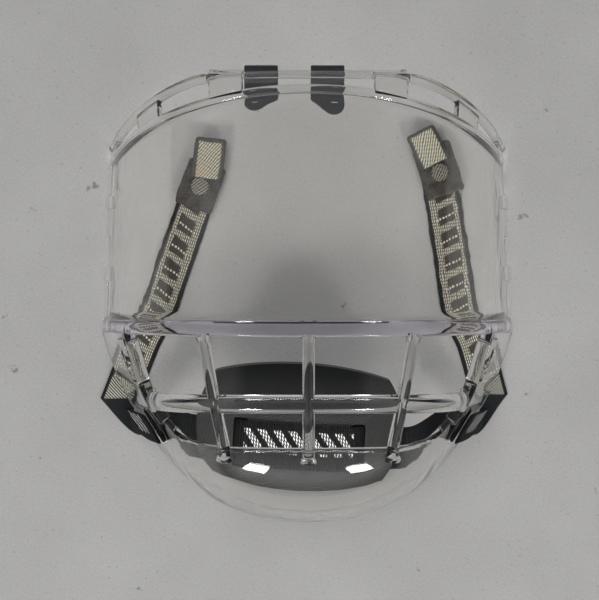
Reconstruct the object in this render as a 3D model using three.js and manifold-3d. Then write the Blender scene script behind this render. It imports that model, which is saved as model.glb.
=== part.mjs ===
// A full-face hockey visor, lying on its back with its outside up.
// +X is the wearer's left as seen in front view, +Y runs up the face, +Z points out of the face.
// Heights along Y are measured from the eye line, which is level with the middle of the shield.
import * as THREE from 'three';
import { mergeVertices } from 'three/addons/utils/BufferGeometryUtils.js';
import Module from 'manifold-3d';

const wasm = await Module();
wasm.setup();

// Shield, the clear moulding
const shieldHalfWidth = 105;
const shieldDepth = 110;
const lensTopHalfWidth = 101.5;
const lensTopDepth = 103;
const lensFrontRise = 96;
const lensSideRise = 73;
const lensBackCorner = 6;
const sideFlare = 18;
const rimFlare = 1.2;
const rimFlareDepth = 15;
const wallThickness = 2.6;
const mouldingGap = 0.3;
const edgeBeadHeight = 3.6;
const edgeBeadThickness = 4;
const backRailRadius = 1.9;

// Ledge under the lens
const ledgeDrop = 13;
const ledgeHeight = 6.5;
const ledgeThickness = 4.6;

// Slots and bosses along the back edge of each side
const sideSlotDepth = 7;
const sideSlotSetback = 4;
const sideSlotLengths = [15, 15, 18];
const sideSlotRises = [62, 25.5, 0];
const bossLengths = [6, 7];
const bossRises = [50, 13.5];
const bossDepth = 13;
const bossThickness = 4.8;

// Top flange and its loop bar
const flangeRise = 5.9;
const flangeSetback = 12;
const flangeThickness = 2.6;
const flangeRailRadius = 1.9;
const railFall = 66.7;
const centreSlotHalfLength = 29.5;
const centreWebWidth = 15;
const loopBarRise = 104;
const loopBarDepth = 80;
const loopBarRadius = 2;

// Top loops
const loopWidth = 15.5;
const loopStrip = 1.7;
const loopClearance = 0.4;
const loopTabThickness = 3.2;
const loopHoleLength = 3.4;
const loopHoleHeight = 1.3;
const loopCentres = { left: -21.65, right: 8.9 };
const loopTabLengths = { left: 16.9, right: 18.8 };

// Cage and chin guard
const chinDrop = 107;

// The cage's places, as shares of the shield's half width, of the drop from ledge to chin and of the depth
const uprightTopShare = 0.431;
const uprightMiddleShare = 0.395;
const uprightLowShare = 0.357;
const crossbarDropShare = 0.323;
const crossbarEndDropShare = 0.342;
const crossbarWidthShare = 0.705;
const crossbarEndDepthShare = 0.455;
const crossbarDepthShare = 1.009;
const guardTopDropShare = 0.548;
const guardTopWidthShare = 0.61;
const guardTopEndDepthShare = 0.527;
const guardTopDepthShare = 0.982;

// Sections and openings of the cage
const barRadius = 2.75;
const barProud = 1.2;
const barOverhang = 5.5;
const crossbarHeight = 8.4;
const crossbarThickness = 5.2;
const sideBarRadius = 3.1;
const rimStripWidth = 27;
const sideWindowTopShare = 0.03;
const sideWindowBottomShare = 0.273;
const bandSlotLength = 24;
const bandSlotWidth = 4.4;
const seamMargin = 1.6;
const seamOverlap = 3.4;

// Chin cup
const cupCentreX = -4;
const cupDropShare = 0.493;
const cupWidthShare = 0.476;
const cupTurn = -3.5;
const cupHeightShare = 0.29;
const cupCrownShare = 0.6;
const cupEndShare = 0.36;
const cupEdgeShare = 0.29;
const cupShellThickness = 2;
const cupLiningThickness = 5;
const cupSlotShare = 0.56;
const cupSlotWidth = 7;
const cupSlotLength = 24;

// Webbing
const bandWidth = 21.6;
const bandThickness = 1.5;
const bandDropShare = 0.587;
const bandEndOverhang = 1.5;
const softGap = 0.3;
const strapWidth = 19;
const strapThickness = 1.6;
const creaseLead = 3;
const anchorLead = 9;
const snapSetback = 5;

// Fastening ends of the side straps
// Starts and ends run up the strap from the middle of the snap, and a shift is to the right of it.
const fasteningTabWidth = 20.5;
const fasteningTabStart = -12;
const fasteningTabEnds = { left: 12.5, right: 16 };
const fasteningTabThickness = 1.5;
const pullTabWidth = 16.4;
const pullTabStarts = { left: 5.2, right: 6.6 };
const pullTabEnds = { left: 26.5, right: 22.9 };
const pullTabShifts = { left: 3, right: -1 };
const pullTabThickness = 1.2;
const tabCornerRadius = 2;
const fasteningTabTurns = { left: 0, right: 9 };
const pullTabTurns = { left: 12.5, right: 17.5 };
const snapCapRadius = 4.6;
const snapCapHeight = 2;
const snapSocketRadius = 3.8;
const snapSocketHeight = 1.5;
const snapStudRadius = 1.5;
const snapStudFlangeRadius = 3.4;
const snapStudFlangeHeight = 0.5;

const cutOverrun = 6;
const cornerExponent = 0.74;
const flareExponent = 1.5;
const railFadeExponent = 0.35;
const railFallExponent = 1.5;
const barExponent = 2.3;
const degree = Math.PI / 180;

// How finely the curved pieces are divided
const lensColumns = 16;
const flangeSteps = 34;
const frameSteps = 8;
const guardSteps = 34;
const uprightSteps = 10;
const crossbarSteps = 8;
const cupShellColumns = 22;
const cupShellRows = 12;
const cupLiningColumns = 24;
const cupLiningRows = 16;
const bandSteps = 10;
const tabSteps = 6;
const strapSteps = 18;
const anchorSteps = 5;
const anchorRiseSteps = 8;
const barSides = 10;
const beadSides = 6;
const railSides = 8;
const loopSides = 28;
const loopHoleSides = 12;
const snapSides = 14;

// Solids

// A closed solid between two grids of points with the same rows and columns.
function slabGeometry(front, back) {
  const rows = front.length;
  const columns = front[0].length;
  const positions = [];
  for (const grid of [front, back]) {
    for (const row of grid) {
      for (const point of row) positions.push(point.x, point.y, point.z);
    }
  }
  const at = (layer, row, column) => (layer * rows + row) * columns + column;
  const faces = [];
  const quad = (a, b, c, d) => faces.push(a, b, c, a, c, d);
  for (let row = 0; row < rows - 1; row += 1) {
    for (let column = 0; column < columns - 1; column += 1) {
      quad(at(0, row, column), at(0, row, column + 1), at(0, row + 1, column + 1), at(0, row + 1, column));
      quad(at(1, row, column), at(1, row + 1, column), at(1, row + 1, column + 1), at(1, row, column + 1));
    }
  }
  for (let column = 0; column < columns - 1; column += 1) {
    quad(at(0, 0, column), at(1, 0, column), at(1, 0, column + 1), at(0, 0, column + 1));
    const last = rows - 1;
    quad(at(0, last, column), at(0, last, column + 1), at(1, last, column + 1), at(1, last, column));
  }
  for (let row = 0; row < rows - 1; row += 1) {
    quad(at(0, row, 0), at(0, row + 1, 0), at(1, row + 1, 0), at(1, row, 0));
    const last = columns - 1;
    quad(at(0, row, last), at(1, row, last), at(1, row + 1, last), at(0, row + 1, last));
  }
  return closedGeometry(positions, faces);
}

// A closed solid through a list of rings with the same number of points.
function ringGeometry(rings) {
  const sides = rings[0].length;
  const positions = [];
  for (const ring of rings) {
    for (const point of ring) positions.push(point.x, point.y, point.z);
  }
  const faces = [];
  for (let ring = 0; ring < rings.length - 1; ring += 1) {
    for (let side = 0; side < sides; side += 1) {
      const next = (side + 1) % sides;
      const low = ring * sides;
      const high = low + sides;
      faces.push(low + side, low + next, high + next, low + side, high + next, high + side);
    }
  }
  const last = (rings.length - 1) * sides;
  for (let side = 1; side < sides - 1; side += 1) {
    faces.push(0, side + 1, side);
    faces.push(last, last + side, last + side + 1);
  }
  return closedGeometry(positions, faces);
}

// Turns the faces outward, whichever way the points were listed.
function closedGeometry(positions, faces) {
  const corner = (index) => new THREE.Vector3().fromArray(positions, index * 3);
  let volume = 0;
  for (let face = 0; face < faces.length; face += 3) {
    const [a, b, c] = [corner(faces[face]), corner(faces[face + 1]), corner(faces[face + 2])];
    volume += a.dot(b.cross(c));
  }
  if (volume < 0) faces.reverse();
  const geometry = new THREE.BufferGeometry();
  geometry.setAttribute('position', new THREE.Float32BufferAttribute(positions, 3));
  geometry.setIndex(faces);
  return geometry;
}

function solidOf(geometry) {
  const bare = geometry.clone();
  bare.deleteAttribute('normal');
  bare.deleteAttribute('uv');
  const merged = mergeVertices(bare);
  return new wasm.Manifold(new wasm.Mesh({
    numProp: 3,
    vertProperties: new Float32Array(merged.attributes.position.array),
    triVerts: new Uint32Array(merged.index.array),
  }));
}

function geometryOf(solid) {
  const mesh = solid.getMesh();
  const geometry = new THREE.BufferGeometry();
  geometry.setAttribute('position', new THREE.BufferAttribute(mesh.vertProperties, 3));
  geometry.setIndex(new THREE.BufferAttribute(mesh.triVerts, 1));
  return geometry;
}

function joined(geometries) {
  return geometries.map(solidOf).reduce((whole, piece) => whole.add(piece));
}

// The normals of a grid of points, one for each point.
function gridNormals(grid) {
  const clampRow = (row) => Math.min(Math.max(row, 0), grid.length - 1);
  const clampColumn = (column) => Math.min(Math.max(column, 0), grid[0].length - 1);
  return grid.map((points, row) => points.map((_, column) => {
    const along = grid[row][clampColumn(column + 1)].clone().sub(grid[row][clampColumn(column - 1)]);
    const across = grid[clampRow(row + 1)][column].clone().sub(grid[clampRow(row - 1)][column]);
    return along.cross(across).normalize();
  }));
}

// A sheet whose outside is the grid shifted out by proud, and whose normals face away from the head.
function sheetGeometry(grid, thickness, proud = 0) {
  const normals = gridNormals(grid);
  const middle = normals[Math.floor(grid.length / 2)][Math.floor(grid[0].length / 2)];
  const centre = grid[Math.floor(grid.length / 2)][Math.floor(grid[0].length / 2)];
  const outward = Math.sign(middle.dot(centre)) || 1;
  const shifted = (distance) => grid.map((points, row) => points.map(
    (point, column) => point.clone().addScaledVector(normals[row][column], outward * distance),
  ));
  return slabGeometry(shifted(proud), shifted(proud - thickness));
}

// A bar of oval section along a list of points; height is measured along up.
function barGeometry(points, thickness, height, up, sides = 10) {
  const rings = points.map((point, index) => {
    const ahead = points[Math.min(index + 1, points.length - 1)];
    const behind = points[Math.max(index - 1, 0)];
    const along = ahead.clone().sub(behind).normalize();
    const out = along.clone().cross(up).normalize();
    const rise = out.clone().cross(along).normalize();
    return Array.from({ length: sides }, (_, side) => {
      const angle = ((side + 0.5) / sides) * 2 * Math.PI;
      return point.clone()
        .addScaledVector(out, (Math.cos(angle) * thickness) / 2)
        .addScaledVector(rise, (Math.sin(angle) * height) / 2);
    });
  });
  return ringGeometry(rings);
}

function boxGeometry(low, high) {
  const size = high.clone().sub(low);
  const centre = low.clone().add(high).multiplyScalar(0.5);
  return new THREE.BoxGeometry(size.x, size.y, size.z).translate(centre.x, centre.y, centre.z);
}

const evenly = (from, to, steps) => Array.from(
  { length: steps + 1 },
  (_, index) => THREE.MathUtils.lerp(from, to, index / steps),
);
const vector = (x, y, z) => new THREE.Vector3(x, y, z);
const mirrored = (point) => vector(-point.x, point.y, point.z);
const onSide = (side, point) => (side > 0 ? point : mirrored(point));
const mix = THREE.MathUtils.lerp;
const smooth = THREE.MathUtils.smoothstep;

// The wall of the lens
// turn runs from -1 at one back edge through 0 at the front to 1 at the other back edge.

function heightShare(y) {
  return (y + ledgeDrop) / (lensFrontRise + ledgeDrop);
}

function depthAt(y) {
  return mix(shieldDepth, lensTopDepth, heightShare(y));
}

function halfWidthAt(y) {
  return mix(shieldHalfWidth, lensTopHalfWidth, heightShare(y));
}

function wallPoint(y, turn, proud = 0) {
  const angle = Math.min(Math.abs(turn), 1) * 90 * degree;
  const reach = Math.max(Math.cos(angle), 0) ** cornerExponent;
  const bend = Math.sin(angle) ** cornerExponent;
  const straight = halfWidthAt(y) - sideFlare;
  const z = depthAt(y) * reach;
  const rim = Math.max(1 - z / rimFlareDepth, 0);
  const x = straight * bend + sideFlare * (1 - reach) ** flareExponent + rimFlare * rim;
  const point = vector(Math.sign(turn) * x, y, z);
  return proud === 0 ? point : point.addScaledVector(wallNormal(y, turn), proud);
}

function wallNormal(y, turn) {
  const step = 0.01;
  const before = wallPoint(y, Math.max(turn - step, -1));
  const after = wallPoint(y, Math.min(turn + step, 1));
  return vector(before.z - after.z, 0, after.x - before.x).normalize();
}

// The turn at which the wall is a given distance from the middle, near the front.
function turnAcross(x) {
  const share = Math.min(x / (lensTopHalfWidth - sideFlare), 1);
  return Math.asin(share ** (1 / cornerExponent)) / (90 * degree);
}

// The turn at which the wall is a given height above the back edge.
function turnAtDepth(z) {
  return Math.acos((z / shieldDepth) ** (1 / cornerExponent)) / (90 * degree);
}

function aboveFloor(solid) {
  const floor = boxGeometry(
    vector(-2 * shieldHalfWidth, -2 * chinDrop, -shieldDepth),
    vector(2 * shieldHalfWidth, 2 * chinDrop, 0),
  );
  return solid.subtract(solidOf(floor));
}

// The top edge is an arch, with a rounded corner at each back edge.
function lensTopEdge(turn) {
  const { x, z } = wallPoint(0, turn);
  const arch = mix(lensFrontRise, lensSideRise, (x / shieldHalfWidth) ** 2);
  const short = Math.max(lensBackCorner - z, 0);
  return arch - lensBackCorner + Math.sqrt(lensBackCorner ** 2 - short ** 2);
}

const cornerShares = [1, 0.6, 0.25, 0];

function wallTurns() {
  const half = Array.from(
    { length: lensColumns },
    (_, index) => (index / lensColumns) * turnAtDepth(lensBackCorner),
  );
  half.push(...cornerShares.map((share) => turnAtDepth(share * lensBackCorner)));
  return [...half.slice(1).reverse().map((turn) => -turn), ...half];
}

function lensSolid(clearance = 0) {
  const ledgeTop = -ledgeDrop + ledgeHeight / 2;
  const turns = wallTurns();
  const rowShares = [0, 0.5, 1];
  const surface = (proud) => rowShares.map((share) => turns.map((turn) => {
    const low = ledgeTop + mouldingGap;
    return wallPoint(mix(low, lensTopEdge(turn) + clearance, share), turn, proud);
  }));
  const sheet = slabGeometry(surface(clearance), surface(-wallThickness - clearance));
  const bead = barGeometry(
    turns.map((turn) => wallPoint(lensTopEdge(turn) - edgeBeadHeight / 2, turn, -wallThickness / 2)),
    edgeBeadThickness + 2 * clearance,
    edgeBeadHeight + 2 * clearance,
    vector(0, 1, 0),
    beadSides,
  );
  return joined([sheet, bead]);
}

function sideBox(side, rise, length, depth, setback, thickness) {
  const middleDepth = setback + depth / 2;
  const centre = wallPoint(rise, side * turnAtDepth(middleDepth), -wallThickness / 2);
  const lean = Math.asin(wallNormal(rise, side * turnAtDepth(middleDepth)).z);
  return new THREE.BoxGeometry(thickness, length, depth)
    .rotateY(-side * lean)
    .translate(centre.x, centre.y, centre.z);
}

function lensWithSlots() {
  let lens = lensSolid();
  for (const side of [-1, 1]) {
    const lowest = -ledgeDrop + ledgeHeight / 2 + mouldingGap;
    const highest = lensSideRise - lensBackCorner;
    const flatHeight = backRailRadius * Math.cos(Math.PI / railSides);
    const railPoints = evenly(lowest, highest, 3).map(
      (y) => wallPoint(y, side).add(vector(-side * wallThickness / 2, 0, flatHeight)),
    );
    const railWidth = 2 * backRailRadius;
    const rail = barGeometry(railPoints, railWidth, railWidth, vector(0, 0, 1), railSides);
    lens = lens.add(solidOf(rail));
    bossRises.forEach((rise, index) => {
      lens = lens.add(solidOf(sideBox(side, rise, bossLengths[index], bossDepth, 0, bossThickness)));
    });
    sideSlotRises.forEach((rise, index) => {
      const slot = sideBox(side, rise, sideSlotLengths[index], sideSlotDepth, sideSlotSetback, cutOverrun * 2);
      lens = lens.subtract(solidOf(slot));
    });
  }
  return aboveFloor(lens);
}

function ledgeSolid() {
  const surface = (proud) => [-0.5, 0.5].map((share) => wallTurns().map(
    (turn) => wallPoint(-ledgeDrop + share * ledgeHeight, turn, proud),
  ));
  const outside = (ledgeThickness - wallThickness) / 2;
  return aboveFloor(solidOf(slabGeometry(surface(outside), surface(outside - ledgeThickness))));
}

// The top flange
// It runs up and back from the lens's top edge to an outer rail, with slots between webs.

function flangeInner(turn) {
  return wallPoint(lensTopEdge(turn) - edgeBeadHeight / 2, turn, -wallThickness / 2);
}

// The rail is level over its shoulders, this share of the half width apart, and falls outside them.
const railShoulderShare = 0.457;

function flangeOuter(turn) {
  const angle = Math.abs(turn) * 90 * degree;
  const fade = Math.max(Math.cos(angle), 0) ** railFadeExponent;
  const point = flangeInner(turn);
  const spread = Math.sin(angle) * flangeSetback * fade * (sideFlare / shieldDepth) * flareExponent;
  point.x += Math.sign(turn) * spread;
  const past = Math.max(Math.abs(point.x) / shieldHalfWidth - railShoulderShare, 0);
  point.y = lensFrontRise + flangeRise - railFall * past ** railFallExponent;
  point.z -= flangeSetback * fade;
  return point;
}

function flangeWeb(from, to, steps) {
  const turns = evenly(from, to, steps);
  const grid = [turns.map(flangeInner), turns.map(flangeOuter)];
  return sheetGeometry(grid, flangeThickness, flangeThickness / 2);
}

const cornerWebShares = [0.526, 0.676];
const backWebShare = 0.9;

function topFlange() {
  const lastTurn = turnAtDepth(lensBackCorner + edgeBeadHeight);
  const turns = evenly(-lastTurn, lastTurn, flangeSteps);
  const railWidth = 2 * flangeRailRadius;
  const pieces = [barGeometry(turns.map(flangeOuter), railWidth, railWidth, vector(0, 1, 0), beadSides)];
  const centreWebStart = turnAcross(centreSlotHalfLength);
  const centreWebEnd = turnAcross(centreSlotHalfLength + centreWebWidth);
  for (const side of [-1, 1]) {
    pieces.push(flangeWeb(side * centreWebStart, side * centreWebEnd, 2));
    pieces.push(flangeWeb(side * cornerWebShares[0], side * cornerWebShares[1], 4));
    pieces.push(flangeWeb(side * backWebShare, side * lastTurn, 3));
    const rail = [centreWebStart, centreWebEnd].map((turn) => flangeOuter(side * turn));
    const bar = rail.map((point) => vector(point.x, loopBarRise, loopBarDepth));
    pieces.push(sheetGeometry([bar, rail], flangeThickness, flangeThickness / 2));
  }
  const barEnd = flangeOuter(centreWebEnd).x;
  const bar = [vector(-barEnd, loopBarRise, loopBarDepth), vector(barEnd, loopBarRise, loopBarDepth)];
  pieces.push(barGeometry(bar, 2 * loopBarRadius, 2 * loopBarRadius, vector(0, 1, 0), barSides));
  return joined(pieces).subtract(lensSolid(2 * mouldingGap));
}

function ovalOutline(x, y, radiusX, radiusY, count) {
  return Array.from({ length: count }, (_, index) => {
    const angle = (index / count) * 2 * Math.PI;
    return new THREE.Vector2(x + radiusX * Math.cos(angle), y + radiusY * Math.sin(angle));
  });
}

// A loop of flat strip round the loop bar, with a tab whose inner corner is slanted.
// The tab's edge runs from its outer side to its inner side, in shares of half its width and of its
// length; a bend is the corner that a curve is pulled toward.
const tabEdgeShares = [
  { to: [1, 0.74] },
  { bend: [1, 0.88], to: [0.774, 0.95] },
  { bend: [0.335, 1.06], to: [-0.077, 0.93] },
  { to: [-0.723, 0.72] },
  { bend: [-0.98, 0.63], to: [-1, 0.56] },
];
const loopHoleShares = [0.4, 0.69];

function topLoop(name, side) {
  const innerRadius = loopBarRadius + loopClearance;
  const outerRadius = innerRadius + loopStrip;
  const half = loopWidth / 2;
  const length = loopTabLengths[name];
  const ring = new THREE.Shape(ovalOutline(0, 0, outerRadius, outerRadius, loopSides));
  ring.holes.push(new THREE.Path(ovalOutline(0, 0, innerRadius, innerRadius, loopSides)));
  const band = new THREE.ExtrudeGeometry(ring, { depth: loopWidth, bevelEnabled: false });
  band.translate(0, 0, -half).rotateY(Math.PI / 2);
  const tabTop = -Math.sqrt(outerRadius ** 2 - (loopTabThickness / 2) ** 2) + loopStrip / 2;
  const tab = boxGeometry(
    vector(-half, -length - loopStrip, -loopTabThickness / 2),
    vector(half, tabTop, loopTabThickness / 2),
  );
  const placed = ([across, down]) => [side * half * across, -length * down];
  const outline = new THREE.Shape();
  outline.moveTo(side * half, outerRadius + cutOverrun);
  for (const { bend, to } of tabEdgeShares) {
    if (bend) outline.quadraticCurveTo(...placed(bend), ...placed(to));
    else outline.lineTo(...placed(to));
  }
  outline.lineTo(-side * half, outerRadius + cutOverrun);
  outline.closePath();
  const [holeX, holeY] = placed(loopHoleShares);
  const hole = ovalOutline(holeX, holeY, loopHoleLength / 2, loopHoleHeight / 2, loopHoleSides);
  outline.holes.push(new THREE.Path(hole));
  const cutter = new THREE.ExtrudeGeometry(outline, {
    depth: 4 * outerRadius, bevelEnabled: false, curveSegments: 8,
  });
  cutter.translate(0, 0, -2 * outerRadius);
  const loop = joined([band, tab]).intersect(solidOf(cutter));
  return geometryOf(loop).translate(loopCentres[name], loopBarRise, loopBarDepth);
}

// The lower shell
// Each row joins a point of its inner edge to a point of its rim. The tables hold the rows of one
// side, from the ledge to the middle of the chin, as shares of the half width, of the drop from the
// ledge's lower edge to the chin, and of the depth.

const shellStart = ledgeDrop + ledgeHeight / 2;
const dropAt = (share) => mix(shellStart, chinDrop, share);

const innerEdgeShares = [
  [0.81, 0, 0.52], [0.78, 0.122, 0.515], [0.738, 0.284, 0.505], [0.688, 0.383, 0.55],
  [0.636, 0.46, 0.572], [0.583, 0.518, 0.608], [0.487, 0.541, 0.765],
];
const rimShares = [
  [1.015, 0, 0.012], [0.984, 0.11, 0.034], [0.924, 0.273, 0.06], [0.866, 0.387, 0.118],
  [0.8, 0.482, 0.168], [0.726, 0.608, 0.22], [0.6, 0.759, 0.31],
  [0.446, 0.882, 0.382], [0.229, 0.973, 0.436], [0, 1, 0.455],
];
const guardTopAcrossShares = [0.594, 0.3, 0];
const guardTopDrop = dropAt(guardTopDropShare);
const guardTopHalfWidth = guardTopWidthShare * shieldHalfWidth;
const guardTopEndDepth = guardTopEndDepthShare * shieldDepth;
const guardTopDepth = guardTopDepthShare * shieldDepth;

function guardTopPoint(share) {
  const x = guardTopHalfWidth * share;
  const bend = (1 - share ** barExponent) ** (1 / barExponent);
  return vector(x, -guardTopDrop, mix(guardTopEndDepth, guardTopDepth, bend));
}

function fromShares([x, y, z]) {
  return vector(x * shieldHalfWidth, -dropAt(y), z * shieldDepth);
}

const innerEdgePoints = [...innerEdgeShares.map(fromShares), ...guardTopAcrossShares.map(guardTopPoint)];
const rimPoints = rimShares.map(fromShares);

function fullCurve(points) {
  const back = points.slice(0, -1).map(mirrored).reverse();
  return new THREE.CatmullRomCurve3([...points, ...back]);
}

const innerEdge = fullCurve(innerEdgePoints);
const rimEdge = fullCurve(rimPoints);
const lastRow = 2 * (rimPoints.length - 1);

// A point of the lower shell: row from 0 to lastRow round the chin, share from inner edge to rim.
// Between the rounding shares its section changes from straight to the chin's bulge.
const roundingShares = [0.194, 0.417];
const bulgeShares = [0.75, 0.87, 0.06];

function shellPoint(row, share) {
  const from = innerEdge.getPoint(row / lastRow);
  const to = rimEdge.getPoint(row / lastRow);
  const nearest = Math.min(row, lastRow - row);
  const roundness = smooth(nearest, roundingShares[0] * lastRow, roundingShares[1] * lastRow);
  const [across, down, back] = bulgeShares;
  const bulge = vector(mix(from.x, to.x, across), mix(from.y, to.y, down), mix(from.z, to.z, back));
  const middle = from.clone().lerp(to, 0.5).lerp(bulge, roundness);
  const inner = Math.min(share, 1);
  const point = from.clone().multiplyScalar((1 - inner) ** 2)
    .addScaledVector(middle, 2 * inner * (1 - inner))
    .addScaledVector(to, inner ** 2);
  const past = to.clone().sub(middle).normalize();
  return share > 1 ? point.addScaledVector(past, (share - 1) * from.distanceTo(to)) : point;
}

function shellNormal(row, share) {
  const step = 0.05;
  const along = shellPoint(row + step, share).sub(shellPoint(row - step, share));
  const across = shellPoint(row, Math.min(share + step, 1)).sub(shellPoint(row, share - step));
  const normal = along.cross(across).normalize();
  const outward = Math.sign(normal.dot(vector(shellPoint(row, share).x, -chinDrop / 2, shieldDepth / 2)));
  return normal.multiplyScalar(outward);
}

function shellGrid(fromRow, toRow, rowCount, shares) {
  const rows = Array.from({ length: rowCount + 1 }, (_, index) => mix(fromRow, toRow, index / rowCount));
  return shares.map((share) => rows.map((row) => shellPoint(row, share)));
}

// The slot of the webbing, through the shell's side wall and along its rows. The seam between a side
// frame and the chin guard is beside the slot, and each piece is made longer there and cut back.
const bandSlotRowShare = 0.236;
const bandSlotRow = bandSlotRowShare * lastRow;
const bandSlotShare = 0.52;
const [slotBefore, slotAfter] = [-1, 1].map((step) => shellPoint(bandSlotRow + step, bandSlotShare));
const rowLength = slotBefore.distanceTo(slotAfter) / 2;
const seamRow = bandSlotRow - (bandSlotLength / 2 + seamMargin) / rowLength;
const seamLap = seamOverlap / rowLength;
const slotRowSpan = bandWidth / 2 / rowLength;

function bandSlotFrame(side) {
  const row = side > 0 ? bandSlotRow : lastRow - bandSlotRow;
  const centre = shellPoint(row, bandSlotShare);
  const step = slotRowSpan;
  const along = shellPoint(row + step, bandSlotShare).sub(shellPoint(row - step, bandSlotShare)).normalize();
  if (along.y > 0) along.negate();
  const normal = shellNormal(row, bandSlotShare);
  const across = normal.clone().cross(along).normalize();
  return { centre, along, normal, across };
}

function bandSlotCutter(side) {
  const { centre, along, normal, across } = bandSlotFrame(side);
  const basis = new THREE.Matrix4().makeBasis(along, across, along.clone().cross(across));
  const depth = cutOverrun * 3;
  const slot = new THREE.BoxGeometry(bandSlotLength, bandSlotWidth, depth);
  slot.applyMatrix4(basis);
  const middle = centre.clone().addScaledVector(normal, -wallThickness / 2);
  return solidOf(slot.translate(middle.x, middle.y, middle.z));
}

const shellTop = -shellStart - mouldingGap;

function aboveShellTop() {
  return solidOf(boxGeometry(
    vector(-2 * shieldHalfWidth, shellTop, -shieldDepth),
    vector(2 * shieldHalfWidth, 2 * lensFrontRise, 2 * shieldDepth),
  ));
}

// Everything on one end of the seam between a side frame and the chin guard: toward the chin where
// end is 1, and toward the ledge where it is -1, with half of the moulding gap.
function seamEnd(side, end) {
  const row = side > 0 ? seamRow : lastRow - seamRow;
  const ahead = seamLap * side;
  const along = shellPoint(row + ahead, 0.5).sub(shellPoint(row - ahead, 0.5)).normalize();
  const across = shellPoint(row, 0).sub(shellPoint(row, 1));
  across.addScaledVector(along, -across.dot(along)).normalize();
  const size = shieldHalfWidth;
  const block = new THREE.BoxGeometry(size, size, size);
  block.translate((end * (size - mouldingGap)) / 2, 0, 0);
  block.applyMatrix4(new THREE.Matrix4().makeBasis(along, across, along.clone().cross(across)));
  const centre = shellPoint(row, 0.5);
  return solidOf(block.translate(centre.x, centre.y, centre.z));
}

function sideBarPoints(side) {
  return evenly(0, (seamRow + seamLap) / lastRow, frameSteps).map(
    (share) => onSide(side, innerEdge.getPoint(share)),
  );
}

function sideFrame(side) {
  const end = seamRow + seamLap;
  const rows = side > 0 ? [0, end] : [lastRow - end, lastRow];
  const wall = sheetGeometry(shellGrid(rows[0], rows[1], frameSteps, evenly(0, 1, 2)), wallThickness);
  const barWidth = 2 * sideBarRadius;
  const bar = barGeometry(sideBarPoints(side), barWidth, barWidth, vector(0, 0, 1), railSides);
  const front = innerEdgePoints[0].z - 2 * sideBarRadius;
  const cutter = sideWindowCutter(side, front);
  return solidOf(wall).subtract(cutter).add(solidOf(bar)).subtract(aboveShellTop()).subtract(seamEnd(side, 1));
}

// The window for the side strap, cut straight through the side.
function sideWindowCutter(side, front) {
  const [high, low] = [sideWindowTopShare, sideWindowBottomShare].map(dropAt);
  const corners = [
    [high, rimStripWidth + rimPoints[0].z],
    [high, front],
    [low, front],
    [low, rimStripWidth + rimPoints[2].z + backRailRadius],
  ];
  const rings = [shieldHalfWidth / 2, shieldHalfWidth + cutOverrun].map(
    (x) => corners.map(([drop, z]) => vector(side * x, -drop, z)),
  );
  return solidOf(ringGeometry(rings));
}

// The uprights and the crossbar
const crossbarDrop = dropAt(crossbarDropShare);
const crossbarEndDrop = dropAt(crossbarEndDropShare);
const crossbarHalfWidth = crossbarWidthShare * shieldHalfWidth;
const crossbarEndDepth = crossbarEndDepthShare * shieldDepth;
const crossbarDepth = crossbarDepthShare * shieldDepth;
const uprightMiddleOffset = uprightMiddleShare * shieldHalfWidth;

function uprightPoints(side) {
  const topTurn = side * turnAcross(uprightTopShare * shieldHalfWidth);
  const top = wallPoint(-ledgeDrop, topTurn, -wallThickness / 2);
  const middle = crossbarPoint(side * uprightMiddleOffset);
  const low = guardTopPoint((uprightLowShare * shieldHalfWidth) / guardTopHalfWidth);
  low.x *= side;
  const end = low.clone().add(vector(0, -barOverhang, -barProud));
  const curve = new THREE.CatmullRomCurve3([
    top,
    middle,
    low.add(vector(0, 0, barProud)),
    end.add(vector(0, 0, barProud)),
  ]);
  return curve.getPoints(uprightSteps);
}

function crossbarPoint(x) {
  const share = Math.min(Math.abs(x) / crossbarHalfWidth, 1);
  const bend = (1 - share ** barExponent) ** (1 / barExponent);
  return vector(x, -mix(crossbarDrop, crossbarEndDrop, share ** 2), mix(crossbarEndDepth, crossbarDepth, bend));
}

function upright(side, clearance = 0) {
  const points = uprightPoints(side);
  const width = 2 * (barRadius + clearance);
  return solidOf(barGeometry(points, width, width, vector(0, 0, 1), barSides)).subtract(aboveShellTop());
}

// The chin guard
const nearEdgeShare = 0.04;

function chinGuard() {
  const from = seamRow - seamLap;
  const grid = shellGrid(from, lastRow - from, guardSteps, evenly(0, 1, 4));
  const wall = solidOf(sheetGeometry(grid, wallThickness));
  const topEdge = evenly(from, lastRow - from, guardSteps).map(
    (row) => shellPoint(row, 0).addScaledVector(shellNormal(row, nearEdgeShare), -wallThickness / 2),
  );
  const bead = barGeometry(topEdge, edgeBeadThickness, edgeBeadHeight, vector(0, 1, 0), beadSides);
  let guard = wall.add(solidOf(bead));
  for (const side of [-1, 0, 1]) guard = guard.subtract(upright(side, mouldingGap));
  for (const side of [-1, 1]) guard = guard.subtract(bandSlotCutter(side)).subtract(seamEnd(side, -1));
  return guard;
}

// One length of the crossbar, between two distances from the middle, cut back at the uprights.
function crossbar(from, to) {
  const points = evenly(from, to, crossbarSteps).map(crossbarPoint);
  const bar = barGeometry(points, crossbarThickness, crossbarHeight, vector(0, 1, 0), railSides);
  return [-1, 0, 1].reduce((whole, side) => whole.subtract(upright(side, mouldingGap)), solidOf(bar));
}

// Chin cup
// A dished oval plate: u and v run from -1 to 1 across and up it.

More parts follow.
